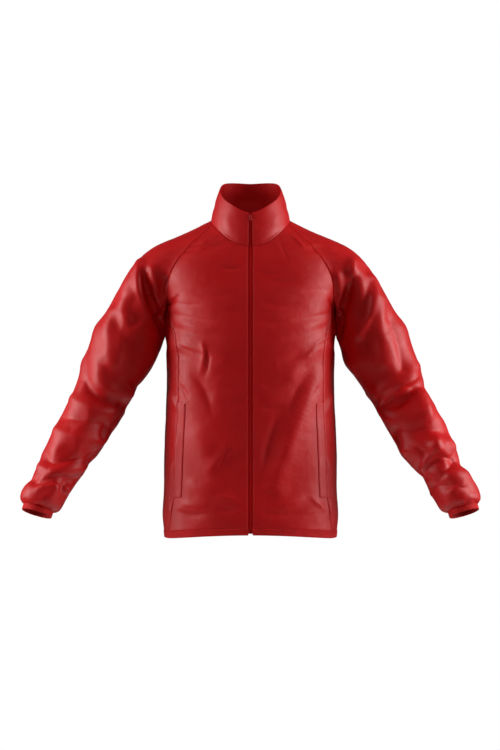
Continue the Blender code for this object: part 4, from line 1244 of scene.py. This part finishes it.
class JACKET_OT_welts(bpy.types.Operator):
    """Builds the long pocket welts, on the front panels' own surface moved out"""

    bl_idname = "rain_jacket.welts"
    bl_label = "Pocket welts"

    def execute(self, context):
        sizes, colours, _ = settings()
        cloth = shell_cloth("Woven polyester taffeta", colours.shell)
        for side in SIDES:
            first, last, wide = welt_place(side, sizes.detail)
            part = part_of((f"front_{side}",), lambda _: slice(first, last + 1), lambda _: slice(-wide, None))
            node = f"pocket_welt_{side}"
            obj = cloth_piece(node, "cloth", part, cloth, "shell_fabric", WELT_WALL, (0.25, 0.0), lift=WELT_LIFT)
        return {"FINISHED"}


class JACKET_OT_bindings(bpy.types.Operator):
    """Builds the folded elastic bindings at the hem and the cuffs"""

    bl_idname = "rain_jacket.bindings"
    bl_label = "Elastic bindings"

    def execute(self, context):
        sizes, colours, _ = settings()
        elastic = ribbed_elastic(colours.binding)
        hem = [f"{part}_{side}" for part in ("front", "side", "back") for side in SIDES]
        rings = [("hem_band", part_of(hem, below_hem), 1.02)]
        rings += [(f"cuff_{side}", part_of((f"cuff_{side}",)), 0.20) for side in SIDES]
        for node, part, length_round in rings:
            thickness = sizes.binding_thickness / MM
            obj = cloth_piece(node, "binding", part, elastic, "elastic_binding", thickness, (0.0,), rounds=5)
        return {"FINISHED"}


def zip_line():
    """Down the middle of the front from the top of the collar: points on the surface, outward normals, half walls."""
    points, _, ids, _, hem = surface()
    edges = []
    for side in SIDES:
        line = np.concatenate([ids[f"collar_{side}"][::-1, 0], ids[f"front_{side}"][1:, 0]])
        edges.append(points[line])
    middle = (edges[0] + edges[1]) / 2
    middle[:, 0] = 0
    collar = len(ids["collar_left"])
    half_wall = np.full(len(middle), WALL / 2)
    half_wall[:collar] = COLLAR_WALL / 2
    half_wall[collar + hem - 1 :] = BINDING_WALL / 2
    down = np.gradient(middle, axis=0)
    out = np.stack([np.zeros(len(middle)), down[:, 2], -down[:, 1]], axis=1)
    return middle, out / np.linalg.norm(out, axis=1, keepdims=True), half_wall


def trimmed(line, start, end, step):
    """A line of points, shortened by a distance at each end and divided evenly. Its other columns are carried along."""
    along = lengths_along(line[:, :3])
    at = np.linspace(start, along[-1] - end, int((along[-1] - start - end) / step))
    return np.stack([np.interp(at, along, line[:, k]) for k in range(line.shape[1])], axis=1)


def slider_frame():
    """Where the slider sits, and the directions up the zip and out of it."""
    middle, out, _ = zip_line()
    rows = np.hstack([middle, out])[::-1]
    place = np.array([np.interp(SLIDER_Z, rows[:, 2], rows[:, k]) for k in range(6)])
    outward = place[3:] / np.linalg.norm(place[3:])
    return np.array(TAB_AXIS) - outward * TAB_AXIS_OUT, np.cross(outward, (1, 0, 0)), outward


def joined_paths(name, lines):
    """Lines of edges for a Geometry Nodes tree to follow, in metres, with the outward direction on each point."""
    mesh = bpy.data.meshes.new(name)
    points, edges, start = [], [], 0
    for line, _ in lines:
        points.append(line * MM)
        edges += [(start + i, start + i + 1) for i in range(len(line) - 1)]
        start += len(line)
    mesh.from_pydata(np.concatenate(points).tolist(), edges, [])
    away = mesh.attributes.new("away", "FLOAT_VECTOR", "POINT")
    normals = np.concatenate([normal for _, normal in lines])
    away.data.foreach_set("vector", np.ascontiguousarray(normals, dtype=np.float32).reshape(-1))
    return linked(name, mesh)


def bead_tree(name, sizes, design):
    """A Geometry Nodes tree that sets beads along lines. It has named inputs for its sizes and its material. The
    design says how far apart the beads are, how far each is moved, what it points along, its size and its roundness."""
    tree = bpy.data.node_groups.new(name, "GeometryNodeTree")
    inputs = [("Geometry", "Geometry"), *[(size, "Float") for size in sizes], ("Material", "Material")]
    for socket, kind in inputs:
        tree.interface.new_socket(socket, in_out="INPUT", socket_type="NodeSocket" + kind)
    tree.interface.new_socket("Geometry", in_out="OUTPUT", socket_type="NodeSocketGeometry")
    given = tree.nodes.new("NodeGroupInput").outputs
    away = add(tree, "GeometryNodeInputNamedAttribute", {"Name": "away"}, "Attribute", data_type="FLOAT_VECTOR")
    tangent = add(tree, "GeometryNodeInputTangent")
    pitch, offset, pointing, size, (segments, rings, radius) = design(tree, given, away, tangent)
    curve = add(tree, "GeometryNodeMeshToCurve", {"Mesh": given["Geometry"]})
    points = add(tree, "GeometryNodeResampleCurve", {"Curve": curve, "Length": pitch}, mode="LENGTH")
    moved = add(tree, "GeometryNodeSetPosition", {"Geometry": points, "Offset": offset})
    turn = "FunctionNodeAlignRotationToVector"
    upright = add(tree, turn, {"Vector": away}, axis="Z")
    facing = add(tree, turn, {"Rotation": upright, "Vector": pointing}, axis="X", pivot_axis="Z")
    bead = add(tree, "GeometryNodeMeshUVSphere", {"Segments": segments, "Rings": rings, "Radius": radius})
    lying = add(tree, "GeometryNodeTransform", {"Geometry": bead, "Rotation": (0.0, math.pi / 2, 0.0)})
    laid = {"Points": moved, "Instance": lying, "Rotation": facing, "Scale": size}
    real = add(tree, "GeometryNodeRealizeInstances", {"Geometry": add(tree, "GeometryNodeInstanceOnPoints", laid)})
    painted = add(tree, "GeometryNodeSetMaterial", {"Geometry": real, "Material": given["Material"]})
    add(tree, "NodeGroupOutput", {"Geometry": painted})
    return tree


def stitch_design(tree, given, away, tangent):
    """A short length of thread along the line that dips into the cloth at both ends. No two are quite as long."""
    lift = add(tree, "ShaderNodeVectorMath", {0: away, "Scale": given["Lift"]}, operation="SCALE")
    uneven = add(tree, "FunctionNodeRandomValue", {2: 0.93, 3: 1.05, "Seed": 12}, 1)
    half_length, half_width = (maths(tree, "MULTIPLY", given[name], 0.5) for name in ("Length", "Width"))
    size = {"X": maths(tree, "MULTIPLY", half_length, uneven), "Y": half_width, "Z": half_width}
    return given["Pitch"], lift, tangent, add(tree, "ShaderNodeCombineXYZ", size), (6, 5, 1.0)


def coil_design(tree, given, away, tangent):
    """The turns of the closed coil, left and right in turn: each slants, and hooks past the middle."""
    odd = maths(tree, "MODULO", add(tree, "GeometryNodeInputIndex"), 2.0)
    side = maths(tree, "MULTIPLY_ADD", odd, 2.0, -1.0)
    offset = add(tree, "ShaderNodeCombineXYZ", {"X": maths(tree, "MULTIPLY", side, given["Offset"])})
    lean = {0: tangent, "Scale": maths(tree, "MULTIPLY", side, given["Slant"])}
    leaned = add(tree, "ShaderNodeVectorMath", lean, operation="SCALE")
    across = add(tree, "ShaderNodeVectorMath", {0: leaned, 1: (1.0, 0.0, 0.0)}, operation="ADD")
    size = {"X": given["Turn length"], "Y": given["Turn width"], "Z": given["Turn width"]}
    half_pitch = maths(tree, "MULTIPLY", given["Pitch"], 0.5)
    return half_pitch, offset, across, add(tree, "ShaderNodeCombineXYZ", size), (7, 6, 0.5)


def grown(obj, tree, values):
    """Runs a tree on an object with the named inputs, and keeps the result as the object's plain mesh."""
    modifier = obj.modifiers.new(tree.name, "NODES")
    modifier.node_group = tree
    for item in tree.interface.items_tree:
        if item.item_type == "SOCKET" and item.in_out == "INPUT" and item.name in values:
            modifier[item.identifier] = values[item.name]
    evaluated = obj.evaluated_get(bpy.context.evaluated_depsgraph_get())
    mesh = bpy.data.meshes.new_from_object(evaluated)
    obj.modifiers.clear()
    old, obj.data = obj.data, mesh
    bpy.data.meshes.remove(old)
    mesh.shade_smooth()
    return obj


def mesh_of(name, bm):
    """A bmesh as a mesh."""
    mesh = bpy.data.meshes.new(name)
    bm.to_mesh(mesh)
    bm.free()
    return mesh


def bevelled(outline, plane, levels, where, bevel):
    """A solid between two copies of an outline in the slider's own axes, as a mesh with rounded edges."""
    place, up, outward = where
    count = len(outline)
    local = np.zeros((2, count, 3))
    local[:, :, list(plane)] = outline
    local[:, :, 3 - sum(plane)] = np.array(levels)[:, None]
    local = local.reshape(-1, 3)
    points = place + local[:, :1] * np.array([1, 0, 0]) + local[:, 1:2] * up + local[:, 2:] * outward
    bm = bmesh.new()
    verts = [bm.verts.new(p * MM) for p in points]
    bm.faces.new(verts[:count])
    bm.faces.new(verts[count:][::-1])
    for i in range(count):
        j = (i + 1) % count
        bm.faces.new((verts[i], verts[j], verts[count + j], verts[count + i]))
    bmesh.ops.recalc_face_normals(bm, faces=bm.faces)
    sharp = [e for e in bm.edges if e.calc_face_angle(0) > math.radians(40)]
    bmesh.ops.bevel(bm, geom=sharp, offset=bevel * MM, segments=2, affect="EDGES", profile=0.6, clamp_overlap=True)
    bmesh.ops.triangulate(bm, faces=[f for f in bm.faces if len(f.verts) > 4])
    return mesh_of("piece", bm)


def arc(centre, radius, start, end, steps):
    """Points on an arc, between two angles in degrees."""
    angles = np.radians(np.linspace(start, end, steps + 1))
    return [(centre[0] + radius * math.cos(a), centre[1] + radius * math.sin(a)) for a in angles]


def merged(name, meshes):
    """Several meshes as one object."""
    bm = bmesh.new()
    for mesh in meshes:
        bm.from_mesh(mesh)
        bpy.data.meshes.remove(mesh)
    mesh = mesh_of(name, bm)
    mesh.shade_smooth()
    return linked(name, mesh)


def slider_meshes(where):
    """The slider's two plates, the neck between them, and the arch that holds the tab."""
    across_up, up_out = (0, 1), (1, 2)
    plate = [(-3.1, -4.5), (3.1, -4.5), (3.6, -2.4), (4.4, 0.6), (4.5, 3.0), (3.9, 4.1), (2.6, 4.5)]
    plate += [(-x, y) for x, y in plate[::-1]][:-1]
    neck = [(-1.6, 1.6), (1.6, 1.6), (1.2, 3.9), (-1.2, 3.9)]
    axis = (0, TAB_AXIS_OUT)
    arch = [(2.5, 2.2), *arc(axis, 2.5, 0, 180, 16), (-2.5, 2.2), (-1.5, 2.2), *arc(axis, 1.5, 180, 0, 14), (1.5, 2.2)]
    return [
        bevelled(plate, across_up, (0.0, 0.9), where, 0.2),
        bevelled(plate, across_up, (1.7, 2.8), where, 0.35),
        bevelled(neck, across_up, (0.6, 2.0), where, 0.1),
        bevelled(arch, up_out, (-0.9, 0.9), where, 0.22),
    ]


def tab_meshes(where):
    """The pull tab's fork, its raised grip, and the bar that it swings on."""
    across_up, up_out = (0, 1), (1, 2)
    half, arm, end = 2.6, 1.3, -9.6
    fork = [(-half, 0.6), *arc((0, half - 12.5), half, 180, 360, 16), (half, 0.6), (half - 0.4, 1.0), (arm, 1.0)]
    fork += [(arm, -3.1), (-arm, -3.1), (-arm, 1.0), (0.4 - half, 1.0)]
    grip = [(-1.5, end), *arc((0, end), 1.5, 180, 360, 12)[1:], (1.5, -5.4), *arc((0, -5.4), 1.5, 0, 180, 12)[1:-1]]
    grip += [(-1.5, -5.4)]
    low, high = TAB_AXIS_OUT - 0.6, TAB_AXIS_OUT + 0.6
    return [
        bevelled(fork, across_up, (low, high), where, 0.28),
        bevelled(grip, across_up, (high - 0.1, high + 0.25), where, 0.12),
        bevelled(arc((0, TAB_AXIS_OUT), 0.7, 0, 337.5, 15), up_out, (-1.95, 1.95), where, 0.05),
    ]


class JACKET_OT_zip(bpy.types.Operator):
    """Builds the zip: woven tapes, the coil's turns, the slider and its pull tab"""

    bl_idname = "rain_jacket.zip"
    bl_label = "Front zip"

    def execute(self, context):
        sizes, colours, _ = settings()
        middle, out, half_wall = zip_line()
        tape = woven_tape(colours.tape)
        for side, sign in zip(SIDES, (1, -1)):
            line = middle - out * (half_wall + TAPE_DEPTH)[:, None]
            columns = []
            for x in TAPE_COLUMNS:
                line[:, 0] = sign * x
                columns.append(trimmed(np.hstack([line, out]), TAPE_TOP_MARGIN, TAPE_END_MARGIN, step=4.0))
            grid = np.stack(columns, axis=1)
            rows, count = grid.shape[:2]
            numbers = np.arange(rows * count).reshape(rows, count)
            along = lengths_along(grid[:, 0, :3])
            uv = np.stack(np.broadcast_arrays(TAPE_COLUMNS[None], along[:, None]), axis=2) * MM
            points, normals = np.split(grid.reshape(-1, 6), 2, axis=1)
            faces, uvs = cells(numbers, f"front_{side}"), cells(uv, f"front_{side}")
            obj = shell(f"zip_tape_{side}_cloth", points, normals, faces, uvs, TAPE_WALL, (0.0,))
            finished(obj, tape, "zip_tape", nodes=(f"zip_tape_{side}",))
        where = slider_frame()
        nylon = moulded_nylon(colours.coil)
        base = middle - out * (half_wall - COIL_DEPTH)[:, None]
        slider_at = float(np.interp(-where[0][2], -base[:, 2], lengths_along(base)))
        line = trimmed(np.hstack([base, out]), slider_at + COIL_BELOW_SLIDER, TAPE_END_MARGIN, step=2.0)
        coil = joined_paths("zip_coil_turns", [(line[:, :3], line[:, 3:])])
        tree = bead_tree("Turns of the coil", ("Pitch", *TURN_SIZES), coil_design)
        grown(coil, tree, {"Pitch": sizes.coil_pitch, **TURN_SIZES, "Material": nylon})
        finished(coil, nylon, "zip_coil", nodes=("zip_coil",))
        enamel = painted_zinc(colours.metal)
        slider = merged("zip_slider_enamel", slider_meshes(where))
        finished(slider, enamel, "slider_metal", nodes=("zip_slider",))
        tab = merged("zip_pull_tab_enamel", tab_meshes(where))
        finished(tab, enamel, "slider_metal", "pull_tab", nodes=("zip_pull_tab",))
        return {"FINISHED"}


def beside_column(name, column, offset, rows=slice(None)):
    """A line on a panel beside one of its columns, so many millimetres after it, or before it if below 0."""
    grid = surface()[2][name][rows]
    return beside_line(grid[:, column:] if offset > 0 else grid[:, : column + 1][:, ::-1], abs(offset))


def beside_row(name, row, offset, columns=slice(None)):
    """A line on a panel beside one of its rows, so many millimetres below it, or above it if below 0."""
    grid = surface()[2][name][:, columns]
    return beside_line((grid[row:] if offset > 0 else grid[: row + 1][::-1]).T, abs(offset))


def beside_line(grid, offset):
    """The points so far along each row of a grid, with their normals."""
    points, normals, _, _, _ = surface()
    line, normal = [], []
    for row in grid:
        along = lengths_along(points[row])
        share = min(offset, along[-1] * 0.5)
        line.append([np.interp(share, along, points[row, k]) for k in range(3)])
        normal.append([np.interp(share, along, normals[row, k]) for k in range(3)])
    normal = np.array(normal)
    return np.array(line), normal / np.linalg.norm(normal, axis=1, keepdims=True)


class JACKET_OT_stitching(bpy.types.Operator):
    """Sews the stitches along the seams, edges, welts and bindings"""

    bl_idname = "rain_jacket.stitching"
    bl_label = "Stitching"

    def execute(self, context):
        sizes, colours, _ = settings()
        _, _, ids, _, hem = surface()
        thread = spun_thread(colours.thread)
        tree = bead_tree("Stitches along a line", ("Pitch", "Length", "Width", "Lift"), stitch_design)
        seams, doubled, bound, welts = [], [], [], []
        above = slice(2, hem - 1)
        for side in SIDES:
            parts = ("front", "back", "side", "over", "collar", "cuff")
            front, back, flank, over, collar, cuff = (f"{part}_{side}" for part in parts)
            edge = ids[front].shape[1] - 1
            first, last, wide = welt_place(side, sizes.detail)
            column = edge + 1 - wide
            down_welt, across_welt = slice(first + 1, last), slice(column + 1, -3)
            seams += [
                beside_column(front, edge, -FROM_SEAM, above),
                beside_column(back, 0, FROM_SEAM, above),
                beside_column(over, sleeve_seam_column(over, sizes.detail), FROM_SEAM, slice(2, -2)),
                beside_column(front, 0, FROM_ZIP, above),
                beside_row(front, 0, FROM_SEAM, slice(4, -4)),
                beside_row(over, 0, FROM_SEAM, slice(4, -4)),
                beside_row(back, 0, FROM_SEAM, slice(4, None)),
            ]
            welts += [
                beside_column(front, column, FROM_WELT_EDGE, down_welt),
                beside_column(front, edge, -FROM_SEAM, down_welt),
                beside_row(front, first, FROM_WELT_EDGE, across_welt),
                beside_row(front, last, -FROM_WELT_EDGE, across_welt),
            ]
            doubled += [
                beside_row(collar, len(ids[collar]) - 1, -FROM_COLLAR_TOP, slice(4, None)),
                beside_column(collar, 0, FROM_ZIP, slice(2, -3)),
            ]
            bound += [
                beside_row(front, hem, FROM_BINDING, slice(1, None)),
                beside_row(back, hem, FROM_BINDING),
                beside_row(flank, hem_row(flank), FROM_BINDING),
                beside_row(cuff, 0, FROM_BINDING),
            ]
        kinds = (
            ("seam_stitches", seams, "shell_fabric", sizes.shell_thickness / 2),
            ("collar_stitches", doubled, "shell_fabric", sizes.collar_thickness / 2),
            ("binding_stitches", bound, "elastic_binding", sizes.binding_thickness / 2),
            ("welt_stitches", welts, "shell_fabric", (WELT_LIFT + WELT_WALL / 2) * MM),
        )
        values = {"Pitch": sizes.stitch_pitch, "Length": sizes.stitch_length, "Width": sizes.thread_width}
        for name, lines, slot, lift in kinds:
            obj = grown(joined_paths(name, lines), tree, {**values, "Lift": lift, "Material": thread})
            finished(obj, thread, slot)
        return {"FINISHED"}


class JACKET_OT_stage(bpy.types.Operator):
    """Sets the pale floor, the soft studio light and the camera at the photograph's angle"""

    bl_idname = "rain_jacket.stage"
    bl_label = "Stage"

    def execute(self, context):
        _, _, stage = settings()
        scene = context.scene
        scene.view_settings.view_transform = "Standard"
        bm = bmesh.new()
        bmesh.ops.create_circle(bm, cap_ends=True, radius=1.2, segments=96, matrix=Matrix.Translation((0, 0, -1.6)))
        floor = linked("studio_floor", mesh_of("studio_floor", bm))
        # Matt paint, with the faint texture that a roller leaves.
        paint, tree, place = new_material("Matt floor paint")
        roller = bumped(tree, noise(tree, place, 220.0, 2.0), 1.0, 0.0003)
        dress(paint, {"Base Color": (*stage.floor, 1), "Roughness": 0.85, "Normal": roller})
        floor.data.materials.append(paint)
        # White where the camera sees it, and dim where it lights the jacket.
        world = bpy.data.worlds.new("White studio")
        scene.world = world
        world.use_nodes = True
        tree = world.node_tree
        tree.nodes.clear()
        seen = add(tree, "ShaderNodeLightPath", output="Is Camera Ray")
        strength = rescaled(tree, seen, 0.0, 1.0, stage.room_light, 1.0)
        glow = add(tree, "ShaderNodeBackground", {"Color": (1, 1, 1, 1), "Strength": strength})
        add(tree, "ShaderNodeOutputWorld", {"Surface": glow})
        # The name, place, width and height, and power of each lamp.
        lamps = (
            ("left_strip", (-2.5, -0.52, 0.2), (0.8, 2.4), stage.side_light * 1.08),
            ("right_strip", (2.5, -0.52, 0.2), (0.8, 2.4), stage.side_light * 1.2),
            ("front_softbox", (0.0, -4.0, 0.9), (2.5, 2.5), stage.front_light * 3.2),
            ("top_softbox", (0.0, 0.0, 2.2), (2.2, 1.2), stage.front_light * 1.5),
            ("left_back_strip", (-2.2, 0.2, 0.0), (0.9, 2.2), stage.side_light * 0.35),
            ("right_back_strip", (2.2, 0.2, 0.0), (0.9, 2.2), stage.side_light * 0.35),
        )
        for name, position, size, power in lamps:
            light = bpy.data.lights.new(name, "AREA")
            light.shape = "RECTANGLE"
            light.size, light.size_y = size
            light.energy = power
            lamp = linked(name, light)
            lamp.location = position
            # The front and top boxes fill in the shade, and only the strips show as highlights.
            lamp.visible_glossy = "softbox" not in name
            lamp.rotation_euler = (Vector(LAMPS_AIM) - lamp.location).to_track_quat("-Z", "Y").to_euler()
        # Level, and straight from the front, as in the photograph.
        camera = bpy.data.cameras.new("camera")
        camera.lens = 96
        camera.sensor_width = 36
        holder = linked("camera", camera)
        holder.location = (-0.0011, -4.5, -0.344)
        holder.rotation_euler = (math.pi / 2, 0, 0)
        scene.camera = holder
        return {"FINISHED"}


class JACKET_PT_parts(bpy.types.Panel):
    """Lists the jacket's pieces in the sidebar of the 3D view"""

    bl_label = "Rain jacket"
    bl_idname = "JACKET_PT_parts"
    bl_space_type = "VIEW_3D"
    bl_region_type = "UI"
    bl_category = "Rain jacket"

    def draw(self, context):
        for name, group in GROUPS.items():
            box = self.layout.box()
            for setting in group.__annotations__:
                box.prop(getattr(context.scene, name), setting)
        for operator in OPERATORS:
            self.layout.operator(operator.bl_idname)


GROUPS = {"jacket_sizes": JacketSizes, "jacket_colours": JacketColours, "jacket_stage": JacketStage}
OPERATORS = (
    JACKET_OT_panels,
    JACKET_OT_collar,
    JACKET_OT_welts,
    JACKET_OT_bindings,
    JACKET_OT_zip,
    JACKET_OT_stitching,
    JACKET_OT_stage,
)


def register():
    for name, group in GROUPS.items():
        bpy.utils.register_class(group)
        setattr(bpy.types.Scene, name, bpy.props.PointerProperty(type=group))
    for kind in (*OPERATORS, JACKET_PT_parts):
        bpy.utils.register_class(kind)


def unregister():
    for kind in (JACKET_PT_parts, *OPERATORS[::-1]):
        bpy.utils.unregister_class(kind)
    for name, group in GROUPS.items():
        delattr(bpy.types.Scene, name)
        bpy.utils.unregister_class(group)


def main():
    """Builds the whole scene."""

    register()
    bpy.ops.rain_jacket.panels()
    bpy.ops.rain_jacket.collar()
    bpy.ops.rain_jacket.welts()
    bpy.ops.rain_jacket.bindings()
    bpy.ops.rain_jacket.zip()
    bpy.ops.rain_jacket.stitching()
    bpy.ops.rain_jacket.stage()


if __name__ == "__main__":
    main()
